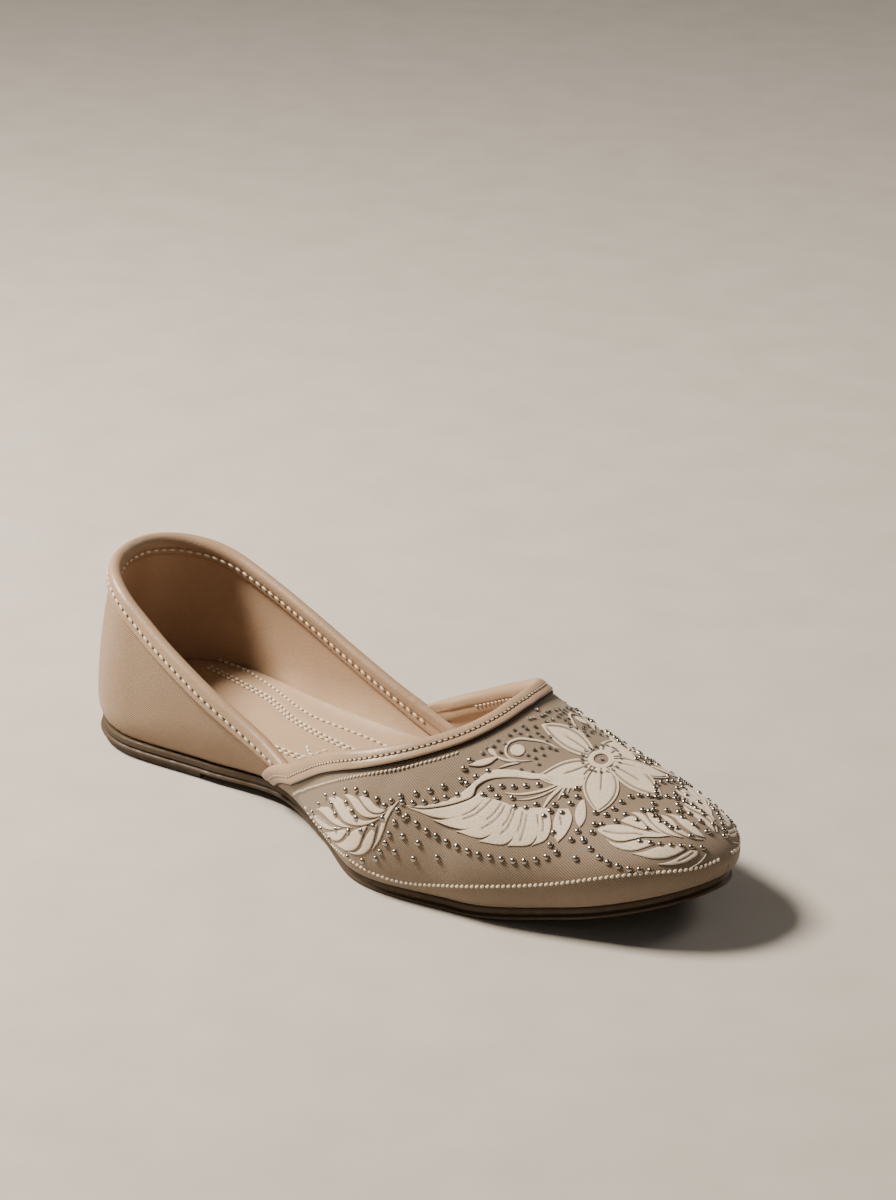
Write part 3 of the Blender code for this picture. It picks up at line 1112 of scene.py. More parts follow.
class Paint:
    """A material that is being mixed: its nodes, its shader and the two place outputs."""

    def __init__(self, name: str) -> None:
        """Starts an empty material with a Principled shader.

        Args:
            name: The name.
        """
        self.material = bpy.data.materials.new(name)
        self.material.use_nodes = True
        self.nodes = Nodes(self.material.node_tree)
        self.shader = self.material.node_tree.nodes["Principled BSDF"]
        places = self.nodes.add("ShaderNodeTexCoord")
        self.object_place = places.outputs["Object"]
        self.cloth_place = places.outputs["UV"]

    def effect(self, effect: Effect, **values: object) -> bpy.types.Node:
        """One of the shared groups, with its values.

        Args:
            effect: Which group.
            values: Outputs or numbers.

        Returns:
            The group's node.
        """
        node = self.nodes.add("ShaderNodeGroup")
        node.node_tree = Groups.tree(effect)
        for name, value in values.items():
            self.nodes.feed(node.inputs[name], value)
        return node

    def tone(self) -> bpy.types.Node:
        """The worn tone, read on the object."""
        return self.effect(Effect.TONE, Place=self.object_place)

    def set(self, name: str, value: object) -> None:
        """Sets or joins one of the shader's sockets."""
        self.nodes.feed(self.shader.inputs[name], value)

    def relief(self, height: object, distance: float, strength: float = 1.0) -> None:
        """Bump from a height between 0 and 1 that stands for a distance.

        Args:
            height: Heights above the floor.
            distance: What a height of 1 stands for.
            strength: How strong it is.
        """
        node = self.nodes.add("ShaderNodeBump")
        node.inputs["Strength"].default_value = strength
        node.inputs["Distance"].default_value = distance
        self.nodes.feed(node.inputs["Height"], height)
        self.set("Normal", node.outputs["Normal"])


@dataclass(frozen=True)
class Cloth:
    """Satin twill: ribs a little lighter than the valleys, whose darker colour is painted shade, and a soft
    sheen.
    """

    name: str
    light: Colour
    dark: Colour
    rib: float = 0.00088
    slant: float = math.radians(8)
    depth: float = 0.00016
    roughness: float = 0.62
    sheen: float = 0.12
    sheen_roughness: float = 0.4
    ageing: Colour = (0.86, 0.84, 0.81)
    aged_share: float = 0.6

    def material(self) -> Material:
        """The material.

        Returns:
            The finish.
        """
        paint = Paint(self.name)
        nodes = paint.nodes
        twill = paint.effect(Effect.TWILL, Cloth=paint.cloth_place, Rib=self.rib, Slant=self.slant)
        tone = paint.tone()
        # The valleys of the weave are darkened with painted shade.
        body = nodes.mix(twill.outputs["Shade"], opaque(self.dark), opaque(self.light))
        aged = nodes.mix(1.0, body, opaque(self.ageing), "MULTIPLY")
        patches = nodes.math("MULTIPLY", tone.outputs["Broad"], self.aged_share)
        paint.set("Base Color", nodes.mix(patches, body, aged))
        low, high = self.roughness - 0.06, self.roughness + 0.08
        paint.set("Roughness", nodes.spread(tone.outputs["Fine"], 0.0, 1.0, low, high))
        paint.set("Sheen Weight", self.sheen)
        paint.set("Sheen Roughness", self.sheen_roughness)
        paint.relief(twill.outputs["Height"], self.depth)
        return paint.material


@dataclass(frozen=True)
class Leather:
    """Soft dyed leather with a fine grain, whose creases are darkened with painted shade."""

    name: str
    light: Colour
    dark: Colour
    cells: float = 1500.0
    depth: float = 0.00006
    roughness: float = 0.5
    coat: float = 0.08
    coat_roughness: float = 0.35

    def material(self) -> Material:
        """The material.

        Returns:
            The finish.
        """
        paint = Paint(self.name)
        nodes = paint.nodes
        grain = paint.effect(Effect.GRAIN, Place=paint.object_place, Cells=self.cells)
        tone = paint.tone()
        # Painted shade in the grain's creases, times real wear from the worn tone's broad patches.
        crease_shade = nodes.spread(grain.outputs["Shade"], 0.0, 1.0, 0.75, 1.0)
        colour_mix = nodes.math("MULTIPLY", crease_shade, nodes.spread(tone.outputs["Broad"], 0.0, 1.0, 0.7, 1.0))
        paint.set("Base Color", nodes.mix(colour_mix, opaque(self.dark), opaque(self.light)))
        low, high = self.roughness - 0.08, self.roughness + 0.1
        paint.set("Roughness", nodes.spread(tone.outputs["Fine"], 0.0, 1.0, low, high))
        paint.set("Coat Weight", self.coat)
        paint.set("Coat Roughness", self.coat_roughness)
        paint.relief(grain.outputs["Height"], self.depth)
        return paint.material


@dataclass(frozen=True)
class Felt:
    """The raised applique: cream pile with fine dark flecks; its grooves and rims take the dark groove colour
    as painted shade.
    """

    name: str
    pile: Colour
    # The painted shade of the grooves and rims.
    groove: Colour
    fleck: Colour
    speck_scale: float = 2100.0
    pile_scale: float = 5200.0
    worn_share: float = 0.25
    sheen: float = 0.25
    depth: float = 0.00009

    def material(self) -> Material:
        """The material.

        Returns:
            The finish.
        """
        paint = Paint(self.name)
        nodes = paint.nodes
        tone = paint.tone()
        relief = nodes.add("ShaderNodeAttribute", attribute_name="relief")
        specks = nodes.noise(paint.object_place, self.speck_scale, 2.0)
        flecked = nodes.spread(specks, 0.52, 0.68, 0.0, 0.55)
        pile = nodes.mix(flecked, opaque(self.pile), opaque(self.fleck))
        colour_mix = nodes.math("MULTIPLY", tone.outputs["Broad"], self.worn_share)
        pile = nodes.mix(colour_mix, pile, opaque(self.fleck))
        # Painted shade: the groove colour where relief is low, in the grooves and along the rims.
        paint.set("Base Color", nodes.mix(relief.outputs["Fac"], opaque(self.groove), pile))
        paint.set("Roughness", nodes.spread(specks, 0.3, 0.7, 0.8, 0.95))
        paint.set("Sheen Weight", self.sheen)
        fibres = nodes.noise(paint.object_place, self.pile_scale)
        paint.relief(nodes.math("ADD", specks, fibres), self.depth)
        return paint.material


@dataclass(frozen=True)
class Rubber:
    """Moulded sole rubber, a little dusty in patches."""

    name: str
    body: Colour
    dust: Colour
    roughness: float = 0.62
    pore_scale: float = 1400.0
    depth: float = 0.00005

    def material(self) -> Material:
        """The material.

        Returns:
            The finish.
        """
        paint = Paint(self.name)
        nodes = paint.nodes
        tone = paint.tone()
        thin = nodes.spread(tone.outputs["Fine"], 0, 1, 0.15, 0.6)
        dusty = nodes.math("MULTIPLY", tone.outputs["Broad"], thin)
        paint.set("Base Color", nodes.mix(dusty, opaque(self.body), opaque(self.dust)))
        low, high = self.roughness - 0.1, self.roughness + 0.2
        paint.set("Roughness", nodes.spread(tone.outputs["Fine"], 0, 1, low, high))
        paint.relief(nodes.noise(paint.object_place, self.pore_scale, 4.0), self.depth)
        return paint.material


@dataclass(frozen=True)
class Thread:
    """Twisted cotton thread."""

    name: str
    light: Colour
    dark: Colour
    roughness: float = 0.7
    strand_scale: float = 3200.0
    depth: float = 0.00008

    def material(self) -> Material:
        """The material.

        Returns:
            The finish.
        """
        paint = Paint(self.name)
        nodes = paint.nodes
        strands = nodes.noise(paint.object_place, self.strand_scale, 2.0)
        lit = nodes.spread(strands, 0.3, 0.7, 0.0, 1.0)
        paint.set("Base Color", nodes.mix(lit, opaque(self.dark), opaque(self.light)))
        paint.set("Roughness", nodes.spread(strands, 0.3, 0.7, self.roughness + 0.1, self.roughness))
        paint.relief(strands, self.depth)
        return paint.material


@dataclass(frozen=True)
class Metal:
    """Plated studs with faint tarnish."""

    name: str
    bright: Colour
    tarnish: Colour
    roughness: float = 0.2
    tarnish_share: float = 0.7

    def material(self) -> Material:
        """The material.

        Returns:
            The finish.
        """
        paint = Paint(self.name)
        nodes = paint.nodes
        tone = paint.tone()
        dull = nodes.math("MULTIPLY", tone.outputs["Fine"], self.tarnish_share)
        paint.set("Base Color", nodes.mix(dull, opaque(self.bright), opaque(self.tarnish)))
        paint.set("Metallic", 1.0)
        low, high = self.roughness, self.roughness + 0.12
        paint.set("Roughness", nodes.spread(tone.outputs["Fine"], 0, 1, low, high))
        return paint.material


@dataclass(frozen=True)
class Stone:
    """Dark cut stones with a hard shine, and patches of painted glint in their colour."""

    name: str
    deep: Colour
    # A bright colour in patches: painted glint.
    painted_glint: Colour
    metallic: float = 0.75
    coat: float = 0.6

    def material(self) -> Material:
        """The material.

        Returns:
            The finish.
        """
        paint = Paint(self.name)
        nodes = paint.nodes
        tone = paint.tone()
        # Patches of painted glint: the bright colour mixed in by the fine tone.
        paint.set("Base Color", nodes.mix(tone.outputs["Fine"], opaque(self.deep), opaque(self.painted_glint)))
        paint.set("Metallic", self.metallic)
        paint.set("Roughness", nodes.spread(tone.outputs["Fine"], 0, 1, 0.08, 0.2))
        paint.set("Coat Weight", self.coat)
        return paint.material


# The pieces


def arc_around(along: Array, around: Array, proud: float) -> Array:
    """Signed length over the skin from the ridge, at every place of a grid.

    Args:
        along: Places along the skin.
        around: Places around the skin.
        proud: How far off the last.

    Returns:
        The lengths, below 0 on the outer side.
    """
    steps = np.linspace(0.0, 1.0, ARC_POINTS)
    points = LAST.skin(along[..., None], around[..., None] * steps, proud)
    lengths = np.linalg.norm(np.diff(points, axis=-2), axis=-1).sum(-1)
    return lengths * np.sign(around)


def arc_along(along: Array, proud: float) -> Array:
    """Length over the ridge from the heel."""
    dense = np.linspace(0.0, 1.0, RIDGE_POINTS)
    return np.interp(along, dense, reach_along(LAST.skin(dense, 0.0, proud)))


@dataclass
class Vamp:
    """The front of the upper: satin twill over a leather lining."""

    proud: float = 0.0015
    wall: float = 0.0023
    cloth_share: float = 0.5
    rows: int = 200
    columns: int = 130
    flex_places: tuple[float, ...] = (0.605, 0.632, 0.665)
    flex_depth: float = 0.00025
    flex_slant: float = 0.03
    flex_width: float = 0.012
    flex_side: tuple[float, float] = (0.52, 0.22)

    def places(self, rows: int, columns: int) -> tuple[Array, Array]:
        """(along, around) of a grid over the vamp, from the throat to the nose.

        Args:
            rows: How many rows.
            columns: How many columns.

        Returns:
            Places along and around.
        """
        around = np.linspace(-1.0, 1.0, rows)[:, None]
        start, _ = LAST.throat_edge(around)
        along = start + (1.0 - start) * np.linspace(0.0, 1.0, columns)
        return along, np.broadcast_to(around, along.shape)

    def creases(self, along: Array, around: Array) -> Array:
        """Height of the soft troughs where the foot bends.

        Args:
            along: Places along the skin.
            around: Places around the skin.

        Returns:
            The heights, 0 or less.
        """
        depth = np.zeros(along.shape)
        for number, place in enumerate(self.flex_places):
            slant = place + self.flex_slant * np.abs(around) * (1 if number % 2 else -1)
            side = bump(np.abs(around), *self.flex_side)
            depth = depth - self.flex_depth * side * bump(along, slant, self.flex_width)
        return depth

    def make_cloth(self, material: Material) -> Piece:
        """The twill face.

        Args:
            material: Its finish.

        Returns:
            The dressed piece.
        """
        along, around = self.places(self.rows, self.columns)
        face = self.proud + self.creases(along, around)
        inner = self.proud - self.wall * self.cloth_share
        cloth = np.stack([arc_along(along, 0.0), arc_around(along, around, 0.0)], axis=-1)
        outside = LAST.skin(along, around, face)
        piece = make_wall("vamp", outside, LAST.skin(along, around, inner), cloth)
        return dress(piece, material)

    def make_lining(self, material: Material) -> Piece:
        """The leather inside.

        Args:
            material: Its finish.

        Returns:
            The dressed piece.
        """
        along, around = self.places(self.rows // 2, self.columns // 2)
        outer = self.proud - self.wall * self.cloth_share
        cloth = np.stack([along, around], axis=-1)
        inside = LAST.skin(along, around, self.proud - self.wall)
        piece = make_wall("vamp_lining", LAST.skin(along, around, outer), inside, cloth)
        return dress(piece, material)


@dataclass
class Quarter:
    """The back of the upper, from one side of the vamp round the heel to the other."""

    wall: float = 0.0016
    cloth_share: float = 0.5
    rows: int = 260
    columns: int = 60
    heel_hollow: float = 0.0005
    waist_hollow: float = 0.0007
    heel_along: tuple[float, float] = (0.22, 0.06)
    heel_rise: tuple[float, float] = (0.55, 0.25)
    waist_along: tuple[float, float] = (0.36, 0.05)
    waist_rise: tuple[float, float] = (0.4, 0.3)

    def places(self, rows: int, columns: int) -> tuple[Array, Array, Array]:
        """(along, around) of a grid over the quarter, and how far up it each place is.

        Args:
            rows: How many rows.
            columns: How many columns.

        Returns:
            Places along and around, and how far up.
        """
        run = np.linspace(-1.0, 1.0, rows)
        along, edge = LAST.collar_edge(run)
        rise = np.linspace(0.0, 1.0, columns)
        around = -1.0 + (edge[:, None] + 1.0) * rise
        along = np.broadcast_to(along[:, None], around.shape)
        return along, around, np.broadcast_to(rise, around.shape)

    def hollows(self, along: Array, rise: Array) -> Array:
        """Soft hollows over the heel counter and at the waist.

        Args:
            along: Places along the skin.
            rise: How far up each place is.

        Returns:
            The heights, 0 or less.
        """
        place = np.abs(along)
        heel = -self.heel_hollow * bump(place, *self.heel_along) * bump(rise, *self.heel_rise)
        waist = -self.waist_hollow * bump(place, *self.waist_along) * bump(rise, *self.waist_rise)
        return heel + waist

    def make_cloth(self, material: Material) -> Piece:
        """The twill face, which replaces the upper's solid with the vamp.

        Args:
            material: Its finish.

        Returns:
            The dressed piece.
        """
        along, around, rise = self.places(self.rows, self.columns)
        outside = LAST.skin(along, around, self.hollows(along, rise))
        inside = LAST.skin(along, around, -self.wall * self.cloth_share)
        reach = reach_along(outside[:, 0])[:, None]
        height = np.linalg.norm(np.diff(outside, axis=1), axis=-1)
        climb = np.concatenate([np.zeros((self.rows, 1)), np.cumsum(height, axis=1)], axis=1)
        cloth = np.stack([np.broadcast_to(reach, climb.shape), climb], axis=-1)
        piece = make_wall("quarter", outside, inside, cloth)
        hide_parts("upper")
        return dress(piece, material)

    def make_lining(self, material: Material) -> Piece:
        """The leather inside.

        Args:
            material: Its finish.

        Returns:
            The dressed piece.
        """
        along, around, _ = self.places(self.rows // 2, self.columns // 2)
        outside = LAST.skin(along, around, -self.wall * self.cloth_share)
        inside = LAST.skin(along, around, -self.wall)
        cloth = np.stack([along, around], axis=-1)
        return dress(make_wall("quarter_lining", outside, inside, cloth), material)


@dataclass
class Binding:
    """A folded strip over an edge: a roll on top, a strip down each face, and rows of stitches."""

    name: str
    edge: Edge
    node: str
    face: float
    back: float
    strip: float
    lining: float
    reach: tuple[float, float]
    roll: float = 0.0024
    thickness: float = 0.0009
    groove_down: float = 0.0016
    groove_depth: float = 0.00045
    clearance: float = 0.0003
    stations: int = 300
    stitch_pitch: float = 0.0034
    stitch_length: float = 0.0027
    stitch_width: float = 0.00085
    hidden_from: float = 1.0
    hidden_run: float = 0.05
    hidden_lift: float = 0.0001
    sunk_from: float = 1.0
    sunk_run: float = 0.02
    roll_turns: tuple[float, float] = (-0.12, 1.12)
    roll_points: int = 19
    fullness: float = 1.06
    swell: float = 0.10
    row_points: int = 600
    stitch_share: float = 0.985
    stitch_slant: float = 0.16
    # Size of the dark grains of painted shade between the stitches.
    gap_shade_overlap: float = 0.0003
    gap_shade_width: float = 0.0009
    gap_shade_height: float = 0.0004

    def profile(self) -> Array:
        """(down, proud) round the fold, from the outer strip's lower edge over the roll and back.

        Returns:
            Points round the fold.
        """
        top = self.face + self.thickness
        deep = self.back - self.thickness
        middle = (top + deep) / 2
        half = (top - deep) / 2
        outer = [
            (self.strip, self.face + 0.05 * self.thickness),
            (self.strip + 0.0001, self.face + 0.6 * self.thickness),
            (self.strip - 0.0002, top - 0.05 * self.thickness),
            (self.strip * 0.80, top),
            (self.groove_down + 0.0009, top),
            (self.groove_down + 0.0004, top - self.groove_depth * 0.5),
            (self.groove_down, top - self.groove_depth),
            (self.groove_down - 0.0004, top - self.groove_depth * 0.4),
        ]
        roll = []
        for turn in np.linspace(*self.roll_turns, self.roll_points):
            angle = math.pi * turn
            foot = max(0.0, 1 - abs(math.sin(angle)) * 4)
            down = -self.roll * math.sin(angle) + self.clearance * 2 * foot
            swell = 1.0 + self.swell * math.sin(angle) ** 2
            roll.append((down, middle + half * self.fullness * math.cos(angle) * swell))
        inner = [
            (self.groove_down, deep + self.groove_depth),
            (self.groove_down + 0.0010, deep),
            (self.lining * 0.8, deep),
            (self.lining, deep + 0.3 * self.thickness),
            (self.lining, self.back),
        ]
        close = [(0.0, self.back + 0.2 * self.thickness), (0.0, self.face - 0.2 * self.thickness)]
        return np.array(outer + roll + inner + close)

    def make_fold(self, material: Material) -> Piece:
        """The folded strip, which replaces its solid.

        Args:
            material: Its finish.

        Returns:
            The dressed piece.
        """
        ring = self.profile()
        ring = np.concatenate([ring, ring[:1]])
        runs = np.linspace(*self.reach, self.stations)[:, None]
        grid = np.broadcast_to(runs, (self.stations, len(ring)))
        along, around = LAST.beside(self.edge, grid, ring[:, 0])
        hidden = np.clip((np.abs(runs) - self.hidden_from) / self.hidden_run, 0, 1)
        lifted = np.maximum(self.back + self.hidden_lift - ring[:, 1], 0.0)
        proud = ring[:, 1] + hidden * lifted
        sunk = np.clip((np.abs(runs) - self.sunk_from) / self.sunk_run, 0, 1)
        proud = proud - sunk * np.maximum(proud - self.face, 0.0)
        points = LAST.skin(along, around, proud)
        piece = soften(close_up(lay_sheet(self.name, points), ROUND_ANGLE))
        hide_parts(self.node)
        return dress(piece, material)

    def row(self, down: float, proud: float, pitch: float, share: float) -> Places:
        """Places along a share of the binding, a pitch apart."""
        runs = np.linspace(-self.reach[1] * share, self.reach[1] * share, self.row_points)
        along, around = LAST.beside(self.edge, runs, np.full(runs.shape, down))
        return places_on_skin(along, around, proud, pitch)

    def make_stitches(self, thread: Material) -> Piece:
        """The stitches in the groove below the roll, outside and inside.

        Args:
            thread: The thread.

        Returns:
            The dressed piece.
        """
        top = self.face + self.thickness - self.groove_depth * 0.25
        deep = self.back - self.thickness - self.stitch_width * 0.05
        outer = self.row(self.groove_down, top, self.stitch_pitch, self.stitch_share)
        shown = self.hidden_from - 0.03
        inner = self.row(self.groove_down + 0.0004, deep, self.stitch_pitch, shown)
        inner = inner.turned(self.stitch_slant)
        inner.off = -inner.off
        places = outer.turned(-self.stitch_slant).joined(inner)
        size = (self.stitch_length, self.stitch_width, self.stitch_width * 0.9)
        return sew(f"{self.name}_stitches", size, places, thread)

    def make_gap_shade(self, shadow: Material) -> Piece:
        """Dark grains between the stitches: painted shade in the gaps, at the needle holes.

        Args:
            shadow: The painted shadow finish.

        Returns:
            The dressed piece.
        """
        top = self.face + self.thickness - self.groove_depth * 0.7
        gap_places = self.row(self.groove_down, top, self.stitch_pitch, self.stitch_share)
        gap_places.points = gap_places.points + gap_places.along * self.stitch_pitch / 2
        gap = self.stitch_pitch - self.stitch_length + self.gap_shade_overlap
        size = (gap, self.gap_shade_width, self.gap_shade_height)
        return sew(f"{self.name}_gap_shade", size, gap_places, shadow)


@dataclass
class Seams:
    """The rows of cream thread on the vamp."""

    chart: Chart
    vamp_face: float = 0.0015
    over_face: float = 0.0001
    slant: float = 0.5
    samples: int = 260
    smoothing: int = 23
    bead_pitch: float = 0.00165
    bead_size: tuple[float, float, float] = (0.00135, 0.00085, 0.00085)
    chain_pitch: float = 0.00135
    chain_size: tuple[float, float, float] = (0.0011, 0.00065, 0.0006)
    # A dark cord of painted shadow below the throat binding.
    shadow_cord_down: float = 0.0039
    shadow_cord_radius: float = 0.00045
    shadow_cord_reach: float = 0.955
    shadow_cord_grid: tuple[int, int] = (300, 9)

    def places_along(self, line: Line, pitch: float) -> Places:
        """Places along a charted line, and on the other side too.

        Args:
            line: The line.
            pitch: The distance from one to the next.

        Returns:
            The places of both sides.
        """
        along, around = self.chart.cast(curve_through(line, self.samples))
        kernel = np.hanning(self.smoothing) / np.hanning(self.smoothing).sum()
        half = self.smoothing // 2
        along = np.convolve(np.pad(along, half, mode="edge"), kernel, mode="valid")
        around = np.convolve(np.pad(around, half, mode="edge"), kernel, mode="valid")
        face = self.vamp_face + self.over_face
        found = places_on_skin(along, around, face, pitch).turned(self.slant)
        return found.joined(places_on_skin(along, -around, face, pitch).turned(-self.slant))

    def make_beads(self, thread: Material) -> Piece:
        """Slanted knots all round, above the sole."""
        places = self.places_along(BEAD_SEAM, self.bead_pitch)
        return sew("bead_seam", self.bead_size, places, thread)

    def make_chain(self, thread: Material) -> Piece:
        """Fine knots below the throat binding."""
        places = self.places_along(CHAIN, self.chain_pitch)
        return sew("throat_chain", self.chain_size, places, thread)

    def make_shadow_cord(self, shadow: Material) -> Piece:
        """A dark cord of painted shadow below the lower edge of the throat binding's strip.

        Args:
            shadow: The painted shadow finish.

        Returns:
            The dressed piece.
        """
        shape = self.shadow_cord_grid
        line = np.linspace(-self.shadow_cord_reach, self.shadow_cord_reach, shape[0])
        runs = np.broadcast_to(line[:, None], shape)
        turn = np.linspace(0.0, 2 * np.pi, shape[1])
        down = np.broadcast_to(self.shadow_cord_down + self.shadow_cord_radius * np.cos(turn), shape)
        lift = self.vamp_face + self.over_face + self.shadow_cord_radius * np.sin(turn)
        along, around = LAST.beside(LAST.throat_edge, runs, down)
        sheet = lay_sheet("throat_shadow_cord", LAST.skin(along, around, np.broadcast_to(lift, shape)))
        return dress(close_up(sheet, ROUND_ANGLE), shadow)


def outline(shares: Array, out: float | Array) -> tuple[Array, Array]:
    """The feather line shifted outwards in plan: its outer and its inner side, from the heel.

    Args:
        shares: Shares of the length.
        out: How far outwards.

    Returns:
        The outer and the inner side.
    """
    along = LAST.along_at(shares)
    lines = []
    for side in (-1.0, 1.0):
        here = LAST.skin(along, side, 0.0)
        ahead = LAST.skin(along + STEP, side, 0.0) - LAST.skin(along - STEP, side, 0.0)
        across = unit(np.stack([-side * ahead[:, 1], side * ahead[:, 0]], axis=-1))
        here[:, :2] += across * np.reshape(out, (-1, 1))
        lines.append(here)
    return lines[0], lines[1]


def plate_points(sides: Sequence[tuple[Array, Array]], across: int) -> Array:
    """Rings round a plate, a ring to each station, from its pairs of side lines, top first.

    Args:
        sides: Pairs of side lines, top first.
        across: Points across the plate.

    Returns:
        The rings, one to each station.
    """
    outer = np.stack([pair[0] for pair in sides], axis=1)
    inner = np.stack([pair[1] for pair in sides], axis=1)
    steps = np.linspace(0.0, 1.0, across + 2)[1:-1][None, :, None]
    top = inner[:, :1] + (outer[:, :1] - inner[:, :1]) * steps
    bottom = outer[:, -1:] + (inner[:, -1:] - outer[:, -1:]) * steps
    return np.concatenate([outer, bottom, inner[:, ::-1], top, outer[:, :1]], axis=1)


@dataclass
class Sole:
    """The thin rubber sole and its heel lift."""

    margin: float = 0.0022
    thickness: float = 0.0038
    breast: float = 0.060
    heel_inset: float = 0.0012
    heel_bevel: float = 0.0005
    gap: float = 0.0003
    sole_grid: tuple[int, int] = (260, 14)
    heel_grid: tuple[int, int] = (120, 8)

    def make_outsole(self, material: Material) -> Piece:
        """The sole, with a groove that parts its wall from its lip.

        Args:
            material: Its finish.

        Returns:
            The dressed piece.
        """
        stations, across = self.sole_grid
        shares = LAST.share_at(np.linspace(0.0, 1.0, stations))
        sides = []
        for out, down in SOLE_SIDE:
            pair = outline(shares, self.margin * smooth(UNDERSIDE, EDGE, shares) * out)
            for line in pair:
                line[:, 2] = LAST.underside(shares) + self.thickness * (1 - down)
            sides.append(pair)
        piece = close_up(lay_sheet("sole", plate_points(sides, across)), MOULDED_ANGLE)
        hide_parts("outsole")
        return dress(piece, material)

    def make_heel(self, material: Material) -> Piece:
        """The heel lift, flat at the breast.

        Args:
            material: Its finish.

        Returns:
            The dressed piece.
        """
        stations, across = self.heel_grid
        breast = LAST.along_at(self.breast / LAST.length)
        shares = LAST.share_at(np.linspace(0.0, breast, stations))
        sides = []
        top = LAST.heel_lift - self.gap
        levels = ((0.0, top), (0.0, self.heel_bevel), (0.3, self.heel_bevel * 0.3), (1.0, 0.0))
        for inset, height in levels:
            pair = outline(shares, self.margin - self.heel_inset - inset * self.heel_bevel)
            for line in pair:
                line[:, 2] = height
            sides.append(pair)
        piece = close_up(lay_sheet("heel_lift", plate_points(sides, across)), LIFT_ANGLE)
        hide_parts("heel")
        return dress(piece, material)


# Stitch rows on the insole: along and across by turns, in metres from the frame's origin.
INSOLE_ROWS = (
    (-0.106, 0.0340, -0.093, 0.0337, -0.080, 0.0302, -0.044, 0.0205, -0.019, 0.0205, 0.010, 0.0250),
    (-0.104, 0.0285, -0.086, 0.0255, -0.068, 0.0215, -0.054, 0.0160, -0.037, 0.0123, -0.022, 0.0110),
    (-0.104, 0.0268, -0.086, 0.0238, -0.068, 0.0198, -0.054, 0.0143, -0.037, 0.0106, -0.022, 0.0093),
    (-0.104, -0.0100, -0.080, -0.0075, -0.060, -0.0052, -0.044, -0.0043, -0.034, -0.0042,
     -0.024, -0.0032),
    (-0.104, -0.0117, -0.080, -0.0092, -0.060, -0.0069, -0.044, -0.0060, -0.034, -0.0059,
     -0.024, -0.0049),
    (-0.106, -0.0155, -0.080, -0.0148, -0.050, -0.0140, -0.024, -0.0140, 0.000, -0.0170),
    (-0.036, 0.0028, -0.030, -0.0010, -0.029, 0.0040, -0.023, -0.0002, -0.022, 0.0050, -0.016, 0.0012),
)


@dataclass
class Insole:
    """The padded leather sock, with its rows of stitches."""

    padding: float = 0.0072
    gap: float = 0.0006
    wall: float = 0.0016
    length: float = 0.226
    toe_round: float = 0.040
    pitch: float = 0.0027
    toe_power: float = 2.2
    grid: tuple[int, int] = (170, 44)
    side: Table = ((1.0, 0.0016), (0.985, 0.0006), (0.93, 0.0001), (0.8, 0.0), (0.3, 0.0), (0.0, 0.0002))
    pressed_rows: int = 6
    press_depth: float = 0.00035
    press_width: float = 0.0014
    press_below: float = 0.0004
    stitch_size: tuple[float, float, float] = (0.0019, 0.00095, 0.0010)
    stitch_sunk: float = 0.00002

    def side_lines(self, shares: Array, lift: float, inset: float) -> tuple[Array, Array]:
        """The outer and inner lines of the pad at a share of its thickness.

        Args:
            shares: Shares of the length.
            lift: Share of the thickness.
            inset: How far in from the upper.

        Returns:
            The outer and the inner line.
        """
        front = np.clip(1 - (self.length - shares * LAST.length) / self.toe_round, 0, 1)
        narrow = np.sqrt(1 - front**self.toe_power)
        rise = LAST.clearance + lift * self.padding * smooth(INSOLE, PADDING, shares)
        pair = []
        for side in (-1.0, 1.0):
            around = side * LAST.around_at(shares, LAST.feather(shares) + rise)
            line = LAST.skin(LAST.along_at(shares), around, -self.wall - self.gap - inset)
            line[:, 1] = (line[:, 1] + LAST.origin[1]) * narrow - LAST.origin[1]
            line[:, 2] = LAST.feather(shares) + rise
            pair.append(line)
        return pair[0], pair[1]

    def top_height(self, x: Array) -> Array:
        """Height of the pad's top at a place along the frame."""
        share = (x + LAST.origin[0]) / LAST.length
        return LAST.feather(share) + LAST.clearance + self.padding * smooth(INSOLE, PADDING, share)

    def make_pad(self, material: Material) -> Piece:
        """The pad, pulled down a little along its stitches.

        Args:
            material: Its finish.

        Returns:
            The dressed piece.
        """
        stations, across = self.grid
        front = LAST.along_at(self.length / LAST.length)
        shares = LAST.share_at(np.linspace(0.0, front, stations))
        sides = [self.side_lines(shares, lift, inset) for lift, inset in self.side]
        points = plate_points(sides, across)
        self.press_rows(points)
        piece = close_up(lay_sheet("sock", points), WALL_ANGLE)
        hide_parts("insole")
        return dress(piece, material)

    def press_rows(self, points: Array) -> None:
        """Lowers the top along each row of stitches.

        Args:
            points: Points of the frame.
        """
        near_top = points[..., 2] > self.top_height(points[..., 0]) - self.press_below
        for row in INSOLE_ROWS[: self.pressed_rows]:
            line = curve_through(row, 80)
            middle = np.interp(points[..., 0], line[:, 0], line[:, 1])
            inside = (points[..., 0] > line[0, 0]) & (points[..., 0] < line[-1, 0])
            press = self.press_depth * bump(points[..., 1], middle, self.press_width)
            points[..., 2] -= np.where(near_top & inside, press, 0.0)

    def make_stitches(self, thread: Material) -> Piece:
        """The rows of stitches on the top.

        Args:
            thread: The thread.

        Returns:
            The dressed piece.
        """
        found = []
        for row in INSOLE_ROWS:
            line = curve_through(row, 120)
            line = np.column_stack([line, self.top_height(line[:, 0]) - self.stitch_sunk])
            at = evenly(line, self.pitch)
            points = read_line(line, at)
            off = np.broadcast_to(np.array([0.0, 0.0, 1.0]), points.shape)
            found.append(Places(points, unit(read_line(line, at + 1) - points), off))
        places = found[0]
        for more in found[1:]:
            places = places.joined(more)
        return sew("sock_stitches", self.stitch_size, places, thread)


